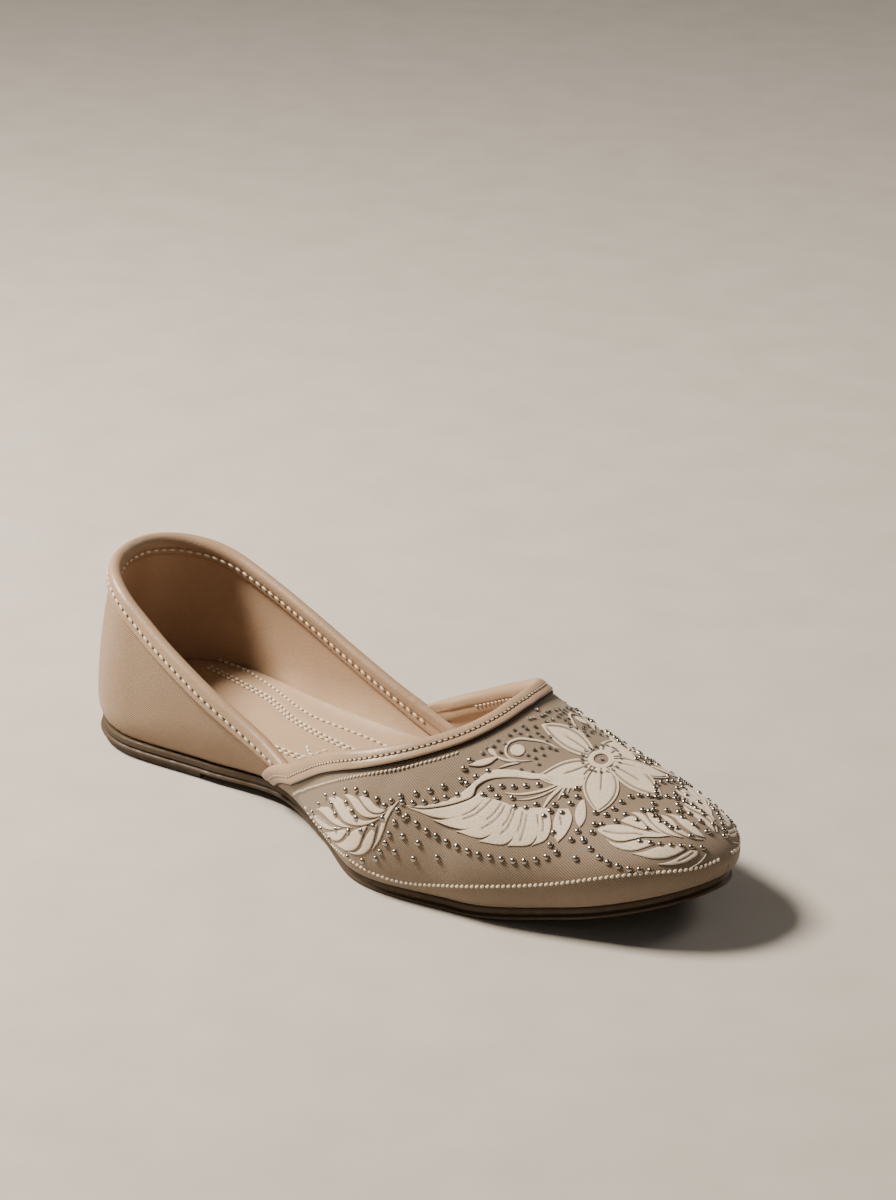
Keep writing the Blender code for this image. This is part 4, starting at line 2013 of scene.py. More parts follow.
@dataclass(frozen=True)
class Petal:
    """A petal with a groove inside its edge and a short vein: its root and tip, half its width
    and its bow, in pixels."""

    root: Pixel
    tip: Pixel
    half: float
    bow: float = 0.0
    root_fill: float = 0.14


@dataclass(frozen=True)
class Blade:
    """A leaf or feather between two edges from its root to its tip, with its veins. Each line
    holds the across and down of its pixels by turns."""

    edge: Line
    other: Line
    veins: tuple[Line, ...] = ()


@dataclass(frozen=True)
class Stroke:
    """A narrow raised band along a few pixels, with half its width and the share left at its ends."""

    through: Line
    half: float
    ends: float = 0.35


# The flower on the ridge: the two petals on the ridge aren't mirrored.
RIDGE_PETALS = (
    Petal((590, 753), (541, 725), 11.5, -2.0),
    Petal((612, 766), (662, 798), 12.0, 2.0),
)
SIDE_PETALS = (
    Petal((590, 764), (537, 777), 12.5, 3.5),
    Petal((601, 768), (597, 813), 18.5, 1.5),
)
FLOWER_CENTRE = (601.0, 759.5)
FLOWER_RING = ((13.5, 9.3), (7.2, 5.0))
STONE_RING = (19.5, 13.5, 20)

# Raised shapes of the outer half. Each line holds the across and down of its pixels by turns.
WING = (
    # The band along the top.
    Blade(
        (583, 773, 572, 777, 558, 776.5, 545, 774.5, 531, 772.5, 518, 770, 505, 769.4, 491, 770.5,
         480.5, 776.5, 473, 783, 463.5, 791, 456, 796, 449, 799.2, 438, 802.8, 425, 805, 404, 805.2),
        (584, 786, 572, 789, 558, 787, 548, 780.7, 531, 779.7, 518, 778.2, 505, 778, 491, 779.3,
         481, 783.3, 476, 787.5, 473, 796, 462, 801.3, 449.5, 804.9, 436, 807.2, 424, 808.4, 404, 806),
    ),
    # Six feathers below it.
    Blade(
        (481, 790.5, 473, 797.6, 461.5, 802.6, 449, 806.1, 436, 808.3, 424, 809.5, 407, 806.6),
        (484, 801, 476, 808, 466, 814, 452, 818.4, 436, 817.6, 421, 812.9, 407, 807.2),
    ),
    Blade(
        (483, 797, 475, 806, 464, 813, 452, 817.8, 442, 819.6, 432.7, 819.3),
        (497, 800, 489, 814, 480, 824, 468, 829.2, 451, 826.9, 432.7, 819.9),
        ((482, 801, 474, 809.5, 463, 815), (491.5, 800, 483, 808.5, 474, 815.3, 463.5, 819)),
    ),
    Blade(
        (494, 799.5, 486.5, 813, 477, 823.5, 468, 828.5, 456, 831),
        (509, 804, 504, 818, 498, 829, 484, 837.5, 456, 831.6),
        ((501, 804, 494, 813.5, 487, 819.5), (505, 806.5, 499.5, 815.5, 491.5, 822.7, 482, 828.5)),
    ),
    Blade(
        (506, 804, 501, 817, 495, 828, 489, 835.8, 479, 841),
        (521, 808, 519, 820, 517, 832, 508, 842.6, 479, 841.8),
        ((512, 808, 508.7, 817.5, 503, 825.5), (515.5, 809, 511.3, 820, 506, 829.3, 500.5, 834)),
    ),
    Blade(
        (518, 807, 516, 820, 514, 831, 512, 839.5, 507, 845.4),
        (535, 809, 537, 820, 539, 829, 533, 842.5, 507, 846.2),
        ((522.7, 812.5, 520.7, 822.5, 518, 831), (526.7, 814.5, 524.7, 826.7, 520, 841)),
    ),
    Blade(
        (532, 808, 535, 820, 536.5, 829, 536.5, 837.5, 531.5, 845.4),
        (548, 808, 550.5, 817, 551, 827, 546.5, 839, 531.5, 846),
        ((537.3, 815, 537.8, 823, 536.7, 831), (542.7, 817, 543, 824, 542.7, 831)),
    ),
    Blade(
        (558, 809, 554, 818, 552.8, 828, 553.7, 836, 557.2, 842),
        (569, 809, 572.3, 817, 570.2, 826, 565, 835, 557.6, 842.4),
        ((560, 817, 561.3, 825),),
    ),
    Blade(
        (580.5, 800.5, 575.8, 808, 574.6, 817, 576.6, 824, 579.3, 827.2),
        (584.8, 800.5, 586.2, 810.5, 585, 820, 581.8, 825.3, 579.7, 827.4),
    ),
)
REAR_LEAF = (
    Blade(
        (398, 801, 389.8, 807.7, 383.3, 818.6, 379.6, 828.6, 377.6, 837.7, 372.5, 849),
        (400.5, 800, 393.2, 809.5, 387.7, 819.5, 384, 830.5, 380.3, 839.5, 372.9, 849.6),
    ),
    Blade(
        (392.3, 805.6, 381.5, 808.5, 376, 805.6, 370.5, 799.3, 365, 795.3, 359.6, 796.5),
        (391.8, 806.6, 386.6, 810, 379.5, 813.4, 372.5, 812.3, 366.4, 807.4, 359.4, 797.4),
    ),
    Blade(
        (390.5, 807.4, 380.5, 814.2, 371.8, 813.4, 364.6, 807.2, 358.4, 799.2, 352.3, 795, 344, 793),
        (390.5, 808.3, 383, 814.8, 370.5, 817.6, 363.2, 816.1, 357.7, 811.5, 350, 800.6, 344, 794),
    ),
    Blade(
        (383.4, 815.4, 374, 819.3, 363, 820.2, 356.8, 817, 352.6, 810.6, 347.4, 804, 341, 798,
         336, 795.6, 330, 797),
        (383.2, 816, 373.2, 822, 363.2, 825.2, 352.3, 824.8, 345, 821.5, 341.2, 817, 337.5, 810.5,
         333.6, 804, 329, 799),
    ),
    Blade(
        (352.5, 827, 345, 824.2, 338.8, 818.8, 333.4, 811.6, 328.2, 806.4, 321, 806.4, 317, 808.4),
        (352.5, 827.6, 345, 827, 337.7, 825.2, 330.5, 820.7, 326, 816, 321.5, 812, 317, 809.4),
    ),
    Blade(
        (341.4, 827, 336, 826.2, 329.5, 823.2, 323.2, 818.6, 317.7, 815, 312.5, 815),
        (341.4, 828, 334, 829.6, 327.7, 829.1, 321.4, 826, 316, 820.6, 312.5, 816),
        ((318.6, 816.8, 325, 821.8, 333, 826.3),),
    ),
    Blade(
        (349, 828.2, 341.4, 829.4, 336, 830.4, 330.5, 831.6, 326, 832),
        (348.8, 829.2, 346, 833, 343, 837.4, 338.6, 840.6, 334, 840.2, 329.5, 836.4, 326, 832.8),
    ),
    Blade(
        (366.8, 825.4, 359.5, 827.7, 351.4, 831.6, 347.7, 836.8, 343.2, 841.4, 336.6, 843.2),
        (367, 826.8, 364, 832.3, 361.4, 839.5, 358.6, 846, 353.2, 850, 346.8, 850.6, 341.4, 847.8,
         336.6, 844),
    ),
    Blade(
        (377, 824, 372.3, 828.6, 366.8, 835, 363.2, 842.3, 360.5, 848.6, 356, 851.8, 348.4, 851),
        (377.4, 825, 375, 835, 373.2, 842.3, 369.5, 849.5, 363.2, 853.8, 355, 854.2, 348.4, 851.8),
    ),
)
FRONT_LEAF = (
    Blade(
        (671, 835.6, 661.6, 833.8, 649, 831.7, 637.4, 829.3, 629, 826.4, 619.5, 824.7, 609, 824.8,
         601.6, 826.4, 597, 829.6),
        (656, 837.2, 642.6, 837.2, 632, 839.5, 621.6, 841.4, 612, 840, 605.8, 836.8, 600.5, 833.8,
         597, 830.4),
        ((603, 831.2, 611, 832.6, 621, 833.6, 632, 833.6, 642, 834.8),),
    ),
    Blade(
        (651, 841, 640.5, 839.4, 631, 841.2, 621.6, 843.2, 612, 842, 605.6, 838.4),
        (653, 845, 644.7, 847.7, 635.3, 850.4, 624.7, 850.3, 617.4, 848.2, 611, 844.6, 605.6, 839.2),
    ),
    Blade(
        (685, 848.4, 679.5, 846.4, 670, 844.8, 658.4, 846.4, 649, 849.5, 642.6, 851.6, 631.5, 853),
        (684.4, 849.4, 682.6, 851, 676.3, 854.6, 668, 857.7, 658.4, 858.8, 649, 858.3, 640.5, 856.2,
         631.5, 853.8),
    ),
    Blade(
        (690, 850.4, 681.6, 855, 674, 859.2, 665.8, 862.2, 657.2, 863.6),
        (697.6, 851, 697.4, 854.6, 693, 858.3, 684.7, 862.5, 676.3, 864.3, 665.8, 865, 657.2, 864.4),
        ((692.5, 853, 686, 857.5, 678, 861.2),),
    ),
    Blade(
        (704, 837, 697.4, 829.5, 691, 823.2, 682.6, 817.8, 674, 814.8, 666, 814),
        (704, 838, 695.3, 835.5, 688, 830.8, 680.5, 824.5, 674, 818.4, 666, 815),
    ),
    Blade(
        (702.6, 839.2, 693, 836.8, 684.7, 832.2, 677.4, 826.4, 671, 819.4, 664.4, 815.7, 659, 814.8),
        (702.6, 840.2, 693, 839.3, 682.6, 835.6, 674.2, 831, 668, 824.7, 662.8, 818.6, 659, 815.8),
    ),
    Blade(
        (682, 836.8, 672, 831.7, 665.8, 826.4, 659.5, 819.5, 653, 814, 646.3, 812),
        (681, 838, 671, 835.7, 662.6, 832, 655.3, 826.7, 649.3, 819.4, 646.3, 813.2),
    ),
    Blade(
        (671.6, 836.4, 663.7, 833.2, 655.3, 827.4, 649, 821.1, 642.6, 814.3, 637.4, 812.2, 630.5, 812.6),
        (671, 837.2, 657.4, 832.6, 649, 827.8, 642.6, 821.6, 636.3, 816.2, 630.5, 813.6),
    ),
    Blade(
        (657, 833.4, 649, 829.6, 642.6, 822.3, 636, 817.4, 629.5, 816, 620.6, 820.6),
        (657, 834.4, 649, 831.6, 637, 828, 629.5, 825.3, 624, 823.2, 620.6, 821.6),
    ),
)
STROKES = (
    # Rays behind the flower.
    Stroke((567, 781, 557, 785, 546, 789.5, 532, 793, 518, 794.4, 503, 792.8), 1.6, 0.3),
    Stroke((566, 783, 552, 790.5, 540, 796, 528, 799.2, 516, 800), 1.3, 0.3),
    Stroke((567, 783, 557, 791, 549, 799, 543, 808), 2.1, 0.5),
    Stroke((568, 783, 562, 792, 557.5, 800), 1.5, 0.3),
    Stroke((570, 783, 567.5, 793), 1.4, 0.3),
    Stroke((574, 783, 573, 791), 1.4, 0.3),
    # The curl round the circle, and its twigs.
    Stroke((560, 750, 546, 743, 531, 740, 517, 739.5, 508, 744, 505.5, 751, 508, 757, 516, 760.5,
            532, 761), 1.5),
    Stroke((494, 756, 505, 760, 517, 762), 1.6),
    Stroke((499, 768, 510, 764.5, 520, 763), 1.4),
    # The thin line under the front leaf.
    Stroke((688, 868.4, 697, 864, 702, 859.5, 706, 853.5), 0.9),
)
SPRIG = (
    Blade((497, 756.5, 488, 758, 478, 760.5, 468, 765), (497, 758.6, 490, 764, 480, 766.6, 468, 765.8)),
    Blade((498, 756, 494, 750, 487, 747.4), (496, 757.4, 489.5, 753.6, 487, 748.2)),
)
DISCS = (((517.5, 750.5), (7.6, 6.0)),)

# The seam of slanted knots above the sole, and the row of knots below the throat.
BEAD_SEAM = (
    304, 803, 312, 818, 320, 831, 330, 842, 340, 851, 354, 862, 366, 869.5, 380, 875.5, 400, 881.5,
    420, 884, 440, 885, 470, 886, 500, 886, 530, 885, 560, 883, 590, 879, 620, 875.5, 650, 872.5,
    680, 870.5, 705, 866, 722, 858,
)
CHAIN = (
    293, 795, 300, 791, 310, 788, 320, 785, 340, 779.5, 360, 775.5, 380, 772, 400, 768.5, 420, 763.5,
    440, 758.5, 460, 752,
)

# Rows of studs: the pixels that a row runs through, and its count.
STUD_ROWS = (
    ((398, 810, 423, 828, 463, 849, 499, 859, 536, 860, 557, 852), 16),
    ((578, 831, 589, 848, 605, 861, 624, 868, 650, 871), 9),
    ((391, 801, 415, 803, 437, 800, 457, 795), 7),
    ((401, 796, 414, 794, 429, 791, 444, 786), 4),
    ((490, 788, 504, 786, 516, 787, 538, 785), 5),
    ((483, 795, 500, 797, 512, 798), 3),
    ((515, 807, 524, 808, 536, 805), 3),
    ((622, 802, 630, 797, 650, 796, 677, 797), 7),
    ((642, 810, 664, 811, 684, 813, 698, 819, 707, 832), 7),
    ((640, 842, 666, 845, 702, 848), 7),
    ((606, 815, 614, 822, 625, 815), 3),
    ((326, 796, 320, 803, 313, 812), 3),
    ((335, 794, 351, 790, 370, 795, 385, 806), 6),
    ((336, 829, 352, 831, 370, 828, 383, 818), 5),
    ((316, 825, 330, 838), 2),
    ((348, 857, 361, 860, 376, 858), 3),
)
STUD_SINGLES = (
    461, 780, 467, 784, 464, 769, 470, 760, 476, 777, 488, 771, 332, 804, 336, 814, 347, 803, 353, 812,
    357, 818, 395, 822, 404, 818, 390, 834, 403, 836, 386, 843, 414, 859, 418, 843, 380, 851, 395, 852,
    437, 857, 555, 805, 564, 796, 577, 797, 577, 788, 570, 804, 562, 813, 550, 811, 544, 816, 553, 833,
    595, 813, 571, 840, 583, 839, 594, 824, 602, 825, 592, 833, 614, 809, 575, 858, 654, 817, 637, 820,
    660, 822, 647, 829, 671, 828, 550, 845, 684, 802, 697, 808, 706, 814, 714, 824,
)
STONE_SINGLES = (
    497, 740, 505, 744, 500, 752, 509, 735, 522, 726, 529, 736, 535, 727, 537, 733, 519, 733, 534, 750,
    543, 755, 547, 742, 555, 750, 538, 764, 521, 770, 532, 772, 541, 748, 549, 748, 527, 755, 535, 758,
    541, 736, 533, 718, 541, 716, 536, 710, 529, 719, 546, 722, 526, 729, 514, 730, 550, 737, 493, 746,
    487, 748, 482, 753,
)


Shape = tuple[Array, Array, Array]


def polyline_distance(pixels: Array, line: Array) -> Array:
    """Distance of each pixel from a line of closely spaced pixels."""
    gaps = pixels[..., None, :] - line
    return np.sqrt((gaps**2).sum(-1)).min(-1)


@dataclass
class Ornament:
    """The raised applique, the studs and the stones on the vamp."""

    chart: Chart
    face: float = 0.0015
    height: float = 0.00028
    sunk: float = 0.0003
    shoulder_px: float = 1.3
    groove_px: float = 0.8
    stud_radius: float = 0.00098
    stone_radius: float = 0.00074
    dome_share: float = 0.78
    dome_foot: float = 0.2
    dome_lift: float = 0.10
    wobble_px: float = 0.35
    stone_turn: float = 0.4
    seed: int = 7
    petal_grid: tuple[int, int] = (46, 49)
    petal_groove_px: float = 3.3
    vein_share: float = 0.55
    line_points: int = 64
    vein_points: int = 60
    stroke_grid: tuple[int, int] = (44, 9)
    disc_grid: tuple[int, int] = (49, 13)
    row_points: int = 200

    def shoulder(self, reach: Array) -> Array:
        """Height at a distance in pixels from the edge, from 0 to 1."""
        inward = np.clip(1 - reach / self.shoulder_px, 0, 1)
        return np.sqrt(1 - inward**2)

    def finish(self, pixels: Array, reach: Array, cuts: Array) -> Shape:
        """Pixels, heights and relief of a shape from its edge distance and its cuts."""
        edge = self.shoulder(reach)
        # relief is the painted shade mask: 0 along the sloping rim and in the cuts, where the felt takes the
        # dark groove colour.
        relief = np.clip(edge * 1.25 - 0.25, 0, 1) * (1 - cuts)
        return pixels, self.height * edge * (1 - 0.75 * cuts), relief

    def petal_shape(self, petal: Petal) -> Shape:
        """A petal in rows from its root to its tip.

        Args:
            petal: The petal.

        Returns:
            The shape.
        """
        rows, columns = self.petal_grid
        s = np.linspace(0.0, 1.0, rows)[:, None]
        t = np.sin(np.linspace(-0.5, 0.5, columns) * np.pi)[None, :]
        root, tip = np.array(petal.root, float), np.array(petal.tip, float)
        reach = tip - root
        beside = np.array([-reach[1], reach[0]]) / np.linalg.norm(reach)
        middle = root + reach * s - beside * petal.bow * 4 * s * (1 - s)
        slope = unit(reach - beside * petal.bow * 4 * (1 - 2 * s))
        across = np.stack([-slope[:, 1], slope[:, 0]], axis=-1)
        start = petal.root_fill
        wide = petal.half * np.sin(np.pi * (start + (1 - start) * s)) ** 0.8
        pixels = middle[:, None] + across[:, None] * (wide * t)[..., None]
        inside = wide * (1 - np.abs(t))
        room = np.clip((wide - 3.6) / 1.2, 0, 1)
        groove = bump(inside, self.petal_groove_px, self.groove_px * 1.25) * room
        vein = bump(wide * t, 0.0, self.groove_px) * np.clip((self.vein_share - s) / 0.08, 0, 1)
        return self.finish(pixels, inside, np.maximum(groove, vein))

    def blade_shape(self, blade: Blade) -> Shape:
        """A blade in rows from its root to its tip.

        Args:
            blade: The blade.

        Returns:
            The shape.
        """
        last = self.line_points - 1
        edge = curve_through(blade.edge, self.line_points)
        other = curve_through(blade.other, self.line_points)
        wide = np.linalg.norm(other - edge, axis=1)[:, None]
        length = np.linalg.norm(np.diff(edge, axis=0), axis=1).sum()
        rows = int(np.clip(length / (0.9 if blade.veins else 1.5), 16, self.line_points))
        keep = np.linspace(0, last, rows).round().astype(int)
        edge, other, wide = edge[keep], other[keep], wide[keep]
        columns = int(np.clip(wide.max() / 0.7, 11, 27)) if blade.veins else 11
        t = (1 - np.cos(np.linspace(0.0, np.pi, columns)))[None, :] / 2
        pixels = edge[:, None] * (1 - t[..., None]) + other[:, None] * t[..., None]
        inside = wide * (0.5 - np.abs(t - 0.5))
        cuts = np.zeros(inside.shape)
        for vein in blade.veins:
            line = curve_through(vein, self.vein_points)
            cuts = np.maximum(cuts, bump(polyline_distance(pixels, line), 0.0, self.groove_px))
        return self.finish(pixels, inside, cuts)

    def stroke_shape(self, stroke: Stroke) -> Shape:
        """A band along a line.

        Args:
            stroke: The stroke.

        Returns:
            The shape.
        """
        rows, columns = self.stroke_grid
        line = curve_through(stroke.through, rows)
        slope = unit(np.gradient(line, axis=0))
        across = np.stack([-slope[:, 1], slope[:, 0]], axis=-1)
        s = np.linspace(0.0, 1.0, rows)[:, None]
        t = np.linspace(-1.0, 1.0, columns)[None, :]
        wide = stroke.half * (stroke.ends + (1 - stroke.ends) * np.sin(np.pi * s) ** 0.7)
        wide = wide * np.clip(np.minimum(s, 1 - s) * 30 + 0.15, 0, 1)
        pixels = line[:, None] + across[:, None] * (wide * t)[..., None]
        return self.finish(pixels, wide * (1 - np.abs(t)), np.zeros(pixels.shape[:-1]))

    def disc_shape(self, centre: Pixel, outer: Pixel, inner: Pixel) -> Shape:
        """An oval ring, or an oval disc where the inner oval is nil.

        Args:
            centre: Its centre.
            outer: Outer half sizes.
            inner: Inner half sizes.

        Returns:
            The shape.
        """
        rows, columns = self.disc_grid
        turn = np.linspace(0.0, 2 * np.pi, rows)[:, None]
        t = (1 - np.cos(np.linspace(0.0, np.pi, columns)))[None, :] / 2
        wide = inner[0] + (outer[0] - inner[0]) * t
        tall = inner[1] + (outer[1] - inner[1]) * t
        x = centre[0] + wide * np.cos(turn)
        pixels = np.stack([x, centre[1] + tall * np.sin(turn)], axis=-1)
        span = outer[0] - inner[0]
        inside = span * (0.5 - np.abs(t - 0.5)) if inner[0] > 0 else span * (1 - t)
        inside = np.broadcast_to(inside, pixels.shape[:-1])
        return self.finish(pixels, inside, np.zeros(inside.shape))

    def raise_sheet(self, shape: Shape, mirror: bool) -> Piece:
        """A closed raised form from rows of pixels, on the outer or the inner side.

        Args:
            shape: Its pixels, heights and relief.
            mirror: Whether it goes to the inner side.

        Returns:
            The form, not yet dressed.
        """
        pixels, heights, relief = shape
        along, around = self.chart.cast(pixels)
        if mirror:
            around = -around
        top = LAST.skin(along, around, self.face + heights)
        low = LAST.skin(along, around, self.face - self.sunk)
        ring = np.concatenate([low[:, :1], top, low[:, -1:], low[:, :1]], axis=1)
        marks = np.concatenate([relief[:, :1], relief, relief[:, -1:], relief[:, :1]], axis=1)
        sheet = lay_sheet("raised", ring, np.stack([marks, marks], axis=-1))
        return close_up(sheet, MOULDED_ANGLE)

    def mark_relief(self, piece: Piece) -> None:
        """Copies the relief, the felt's painted shade mask, from the UV map, where the sheets carry it, to an
        attribute.

        Args:
            piece: The piece.
        """
        mesh = piece.data
        corners = np.empty(len(mesh.loops), int)
        mesh.loops.foreach_get("vertex_index", corners)
        marks = np.empty(len(mesh.loops) * 2)
        mesh.uv_layers[0].data.foreach_get("uv", marks)
        values = np.zeros(len(mesh.vertices))
        values[corners] = marks[::2]
        attribute = mesh.attributes.new("relief", "FLOAT", "POINT")
        attribute.data.foreach_set("value", values)

    def make_side(self, mirror: bool, felt: Material) -> Piece:
        """All raised shapes of one side.

        Args:
            mirror: Whether it goes to the inner side.
            felt: The felt.

        Returns:
            The dressed piece.
        """
        shapes = [self.petal_shape(petal) for petal in SIDE_PETALS]
        shapes += [self.blade_shape(blade) for blade in WING + REAR_LEAF + FRONT_LEAF + SPRIG]
        shapes += [self.stroke_shape(stroke) for stroke in STROKES]
        shapes += [self.disc_shape(centre, radii, (0.0, 0.0)) for centre, radii in DISCS]
        name = "applique_inner" if mirror else "applique_outer"
        return self.gather(name, shapes, mirror, felt)

    def make_ridge(self, felt: Material) -> Piece:
        """The petals on the ridge and the ring of the flower."""
        shapes = [self.petal_shape(petal) for petal in RIDGE_PETALS]
        shapes.append(self.disc_shape(FLOWER_CENTRE, *FLOWER_RING))
        return self.gather("applique_ridge", shapes, False, felt)

    def gather(
        self, name: str, shapes: Sequence[Shape], mirror: bool, felt: Material
    ) -> Piece:
        """Joins raised shapes into one dressed piece."""
        piece = join_pieces(name, [self.raise_sheet(shape, mirror) for shape in shapes])
        self.mark_relief(piece)
        return dress(piece, felt)

    def places_at(self, pixels: Array, both: bool) -> Places:
        """Places on the vamp at pixels, and on the other side too.

        Args:
            pixels: Pixels of the photograph.
            both: Whether the inner side gets them too.

        Returns:
            The places.
        """
        along, around = self.chart.cast(pixels)
        if both:
            along = np.concatenate([along, along])
            around = np.concatenate([around, -around])
        points = LAST.skin(along, around, self.face)
        lengthwise, _ = LAST.slopes(along, around, self.face)
        return Places(points, unit(lengthwise), LAST.normal(along, around, self.face))

    def make_studs(self, metal: Material) -> Piece:
        """The domed studs.

        Args:
            metal: The metal.

        Returns:
            The dressed piece.
        """
        spots = [np.array(STUD_SINGLES, float).reshape(-1, 2)]
        for through, count in STUD_ROWS:
            line = curve_through(through, self.row_points)
            reach = reach_along(line)
            at = np.interp(np.linspace(0.0, reach[-1], count), reach, np.arange(self.row_points))
            spots.append(read_line(line, at))
        pixels = np.concatenate(spots)
        draws = np.random.default_rng(self.seed)
        pixels = pixels + draws.normal(0.0, self.wobble_px, pixels.shape)
        seed = self.make_dome(self.stud_radius, 14, 9)
        piece = scatter("studs", seed, self.places_at(pixels, True), MOULDED_ANGLE)
        return dress(piece, metal)

    def make_dome(self, radius: float, segments: int, rings: int) -> Piece:
        """One low dome, a little sunk.

        Args:
            radius: Its radius.
            segments: Its segments.
            rings: Its rings.

        Returns:
            The dome.
        """
        bpy.ops.object.select_all(action="DESELECT")
        bpy.ops.mesh.primitive_uv_sphere_add(segments=segments, ring_count=rings, radius=radius)
        seed = bpy.context.object
        foot = -self.dome_foot * radius
        for point in seed.data.vertices:
            point.co.z = max(point.co.z, foot) * self.dome_share + self.dome_lift * radius
        return seed

    def make_stones(self, stone: Material) -> Piece:
        """The small cut stones by the throat and round the flower's centre.

        Args:
            stone: The stone.

        Returns:
            The dressed piece.
        """
        wide, tall, count = STONE_RING
        turn = np.linspace(0.0, 2 * np.pi, count, endpoint=False)
        ring = np.stack([wide * np.cos(turn), tall * np.sin(turn)], axis=-1)
        ring = ring + np.array(FLOWER_CENTRE)
        ring = self.places_at(np.concatenate([ring, [FLOWER_CENTRE]]), False)
        singles = np.array(STONE_SINGLES, float).reshape(-1, 2)
        places = self.places_at(singles, True).joined(ring).turned(self.stone_turn)
        seed = self.make_dome(self.stone_radius, 8, 5)
        return dress(scatter("stones", seed, places, CUT_ANGLE), stone)


@dataclass(frozen=True)
class Lamp:
    """A square soft light that faces the shoe."""

    name: str
    place: tuple[float, float, float]
    size: float
    power: float
    colour: Colour

    def make(self) -> None:
        """Builds the light."""
        data = bpy.data.lights.new(self.name, "AREA")
        data.size = self.size
        data.energy = self.power
        data.color = self.colour
        lamp = bpy.data.objects.new(self.name, data)
        lamp.location = self.place
        toward = Vector(LAMP_TARGET) - Vector(self.place)
        lamp.rotation_euler = toward.to_track_quat("-Z", "Y").to_euler()
        bpy.context.scene.collection.objects.link(lamp)


LAMP_TARGET = (0.0, 0.0, 0.03)
LAMPS = (
    Lamp("key", (-0.66, -0.30, 0.88), 0.30, 35.0, (1.0, 0.90, 0.77)),
    Lamp("fill", (0.75, -1.2, 0.85), 1.2, 0.7, (1.0, 0.93, 0.85)),
    Lamp("rim", (0.45, 1.05, 0.9), 0.5, 4.0, (1.0, 0.92, 0.81)),
)


@dataclass
class Studio:
    """The floor, the light and the camera."""

    floor_size: float = 14.0
    floor_dark: Colour = (0.50, 0.465, 0.42)
    floor_light: Colour = (0.54, 0.505, 0.46)
    floor_roughness: float = 0.8
    sky: Colour = (0.80, 0.78, 0.76)
    sky_strength: float = 0.08

    def make(self) -> None:
        """Builds them all."""
        bpy.context.scene.camera = VIEW.make_camera()
        bpy.ops.object.select_all(action="DESELECT")
        bpy.ops.mesh.primitive_plane_add(size=self.floor_size)
        floor = bpy.context.object
        floor.name = "floor"
        paint = Paint("floor")
        tone = paint.tone()
        light, dark = opaque(self.floor_light), opaque(self.floor_dark)
        paint.set("Base Color", paint.nodes.mix(tone.outputs["Broad"], dark, light))
        paint.set("Roughness", self.floor_roughness)
        floor.data.materials.append(paint.material)
        for lamp in LAMPS:
            lamp.make()
        world = bpy.data.worlds.new("studio")
        world.use_nodes = True
        sky = world.node_tree.nodes["Background"]
        sky.inputs["Color"].default_value = opaque(self.sky)
        sky.inputs["Strength"].default_value = self.sky_strength
        bpy.context.scene.world = world


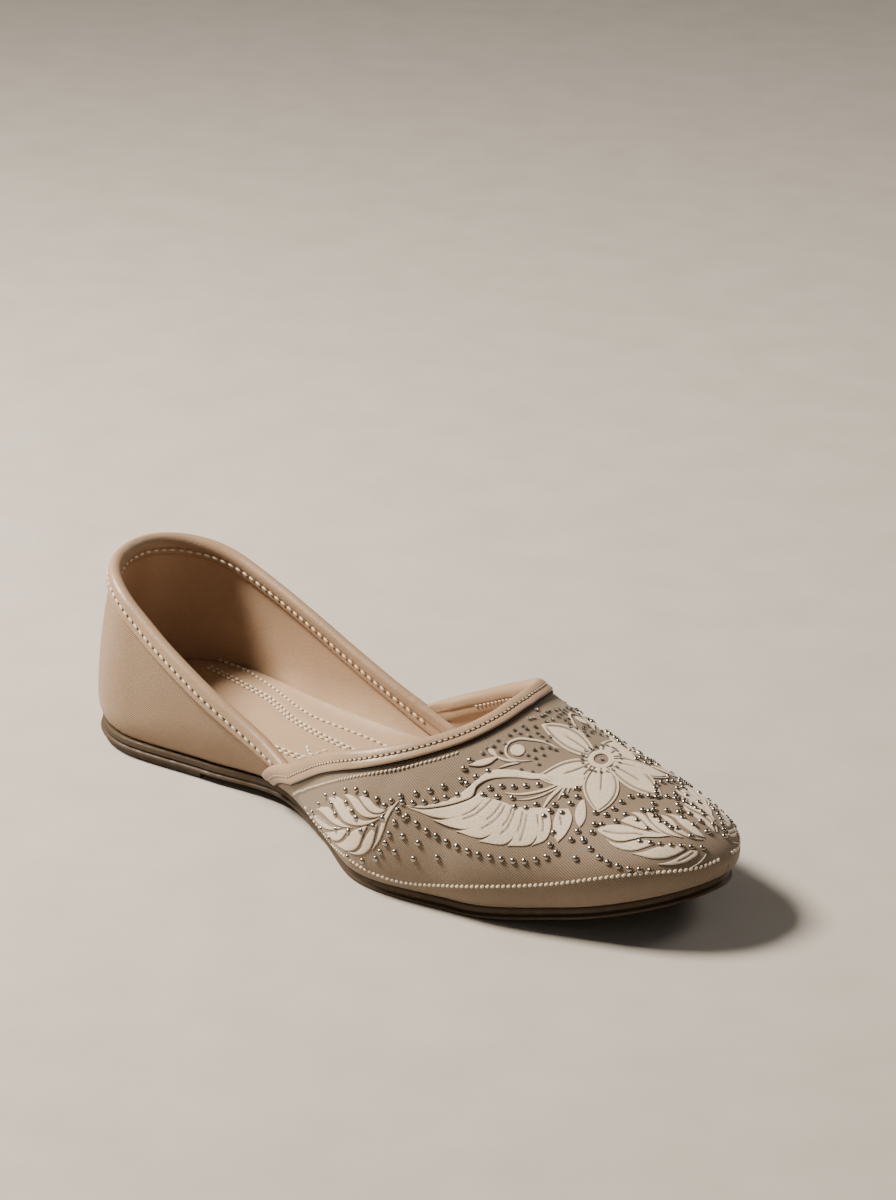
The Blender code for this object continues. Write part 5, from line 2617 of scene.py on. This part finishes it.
def main() -> None:
    """Builds the shoe piece by piece, then the studio."""
    logging.basicConfig(level=logging.INFO, format="%(name)s %(message)s")
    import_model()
    Studio().make()

    twill = Cloth(
        "satin_twill", (0.365, 0.27, 0.187), (0.165, 0.115, 0.074), rib=0.00068, depth=0.00011
    ).material()
    quarter_twill = Cloth(
        "quarter_twill", (0.46, 0.312, 0.195), (0.22, 0.14, 0.08),
        rib=0.00066, depth=0.00014, slant=math.radians(13),
    ).material()
    lining = Leather(
        "lining_leather", (0.52, 0.362, 0.24), (0.37, 0.25, 0.158), roughness=0.40, coat=0.2
    ).material()
    edge = Leather(
        "edge_leather", (0.44, 0.298, 0.192), (0.27, 0.175, 0.105), roughness=0.42, coat=0.12
    ).material()
    # The felt's second colour is the painted shade of its grooves and rims.
    felt = Felt("cream_felt", (0.84, 0.70, 0.535), (0.15, 0.105, 0.07), (0.44, 0.34, 0.245)).material()
    rubber = Rubber("sole_rubber", (0.045, 0.025, 0.009), (0.085, 0.05, 0.02)).material()
    heel_rubber = Rubber("heel_rubber", (0.038, 0.022, 0.009), (0.075, 0.046, 0.02), 0.6).material()
    cream = Thread("cream_thread", (0.92, 0.84, 0.70), (0.66, 0.56, 0.43)).material()
    taupe = Thread("taupe_thread", (0.84, 0.72, 0.57), (0.52, 0.41, 0.30)).material()
    # Painted shadow: the dark cord below the throat binding and the grains between the stitches.
    shadow = Thread("painted_shadow", (0.035, 0.022, 0.013), (0.012, 0.008, 0.005), 0.6).material()
    silver = Metal("silver_stud", (0.52, 0.47, 0.40), (0.16, 0.13, 0.10)).material()
    # The stones' second colour is painted glint.
    stone = Stone("dark_stone", (0.30, 0.26, 0.21), (0.80, 0.75, 0.66)).material()

    sole = Sole()
    sole.make_outsole(rubber)
    sole.make_heel(heel_rubber)
    insole = Insole()
    insole.make_pad(lining)
    insole.make_stitches(cream)

    vamp = Vamp()
    vamp.make_cloth(twill)
    vamp.make_lining(lining)
    quarter = Quarter()
    quarter.make_cloth(quarter_twill)
    quarter.make_lining(lining)

    throat = Binding(
        "throat_fold", LAST.throat_edge, "throat_binding", 0.0018, -0.0008, 0.0036, 0.0044,
        (-0.968, 0.968), groove_down=0.0010, stitch_pitch=0.0018, stitch_length=0.0013,
        stitch_width=0.0007, hidden_from=0.80,
    )
    collar = Binding(
        "collar_fold", LAST.collar_edge, "collar_binding", 0.0003, -0.0019, 0.0038, 0.0042,
        (-0.995, 0.955), sunk_from=0.955, groove_down=0.0013, stitch_pitch=0.0029,
        stitch_length=0.0021, stitch_width=0.0009,
    )
    for binding, thread in ((throat, taupe), (collar, cream)):
        binding.make_fold(edge)
        binding.make_stitches(thread)
        binding.make_gap_shade(shadow)

    chart = Chart(vamp.proud)
    seams = Seams(chart)
    seams.make_beads(cream)
    seams.make_chain(cream)
    seams.make_shadow_cord(shadow)

    ornament = Ornament(chart)
    ornament.make_side(False, felt)
    ornament.make_side(True, felt)
    ornament.make_ridge(felt)
    ornament.make_studs(silver)
    ornament.make_stones(stone)


if __name__ == "__main__":
    main()
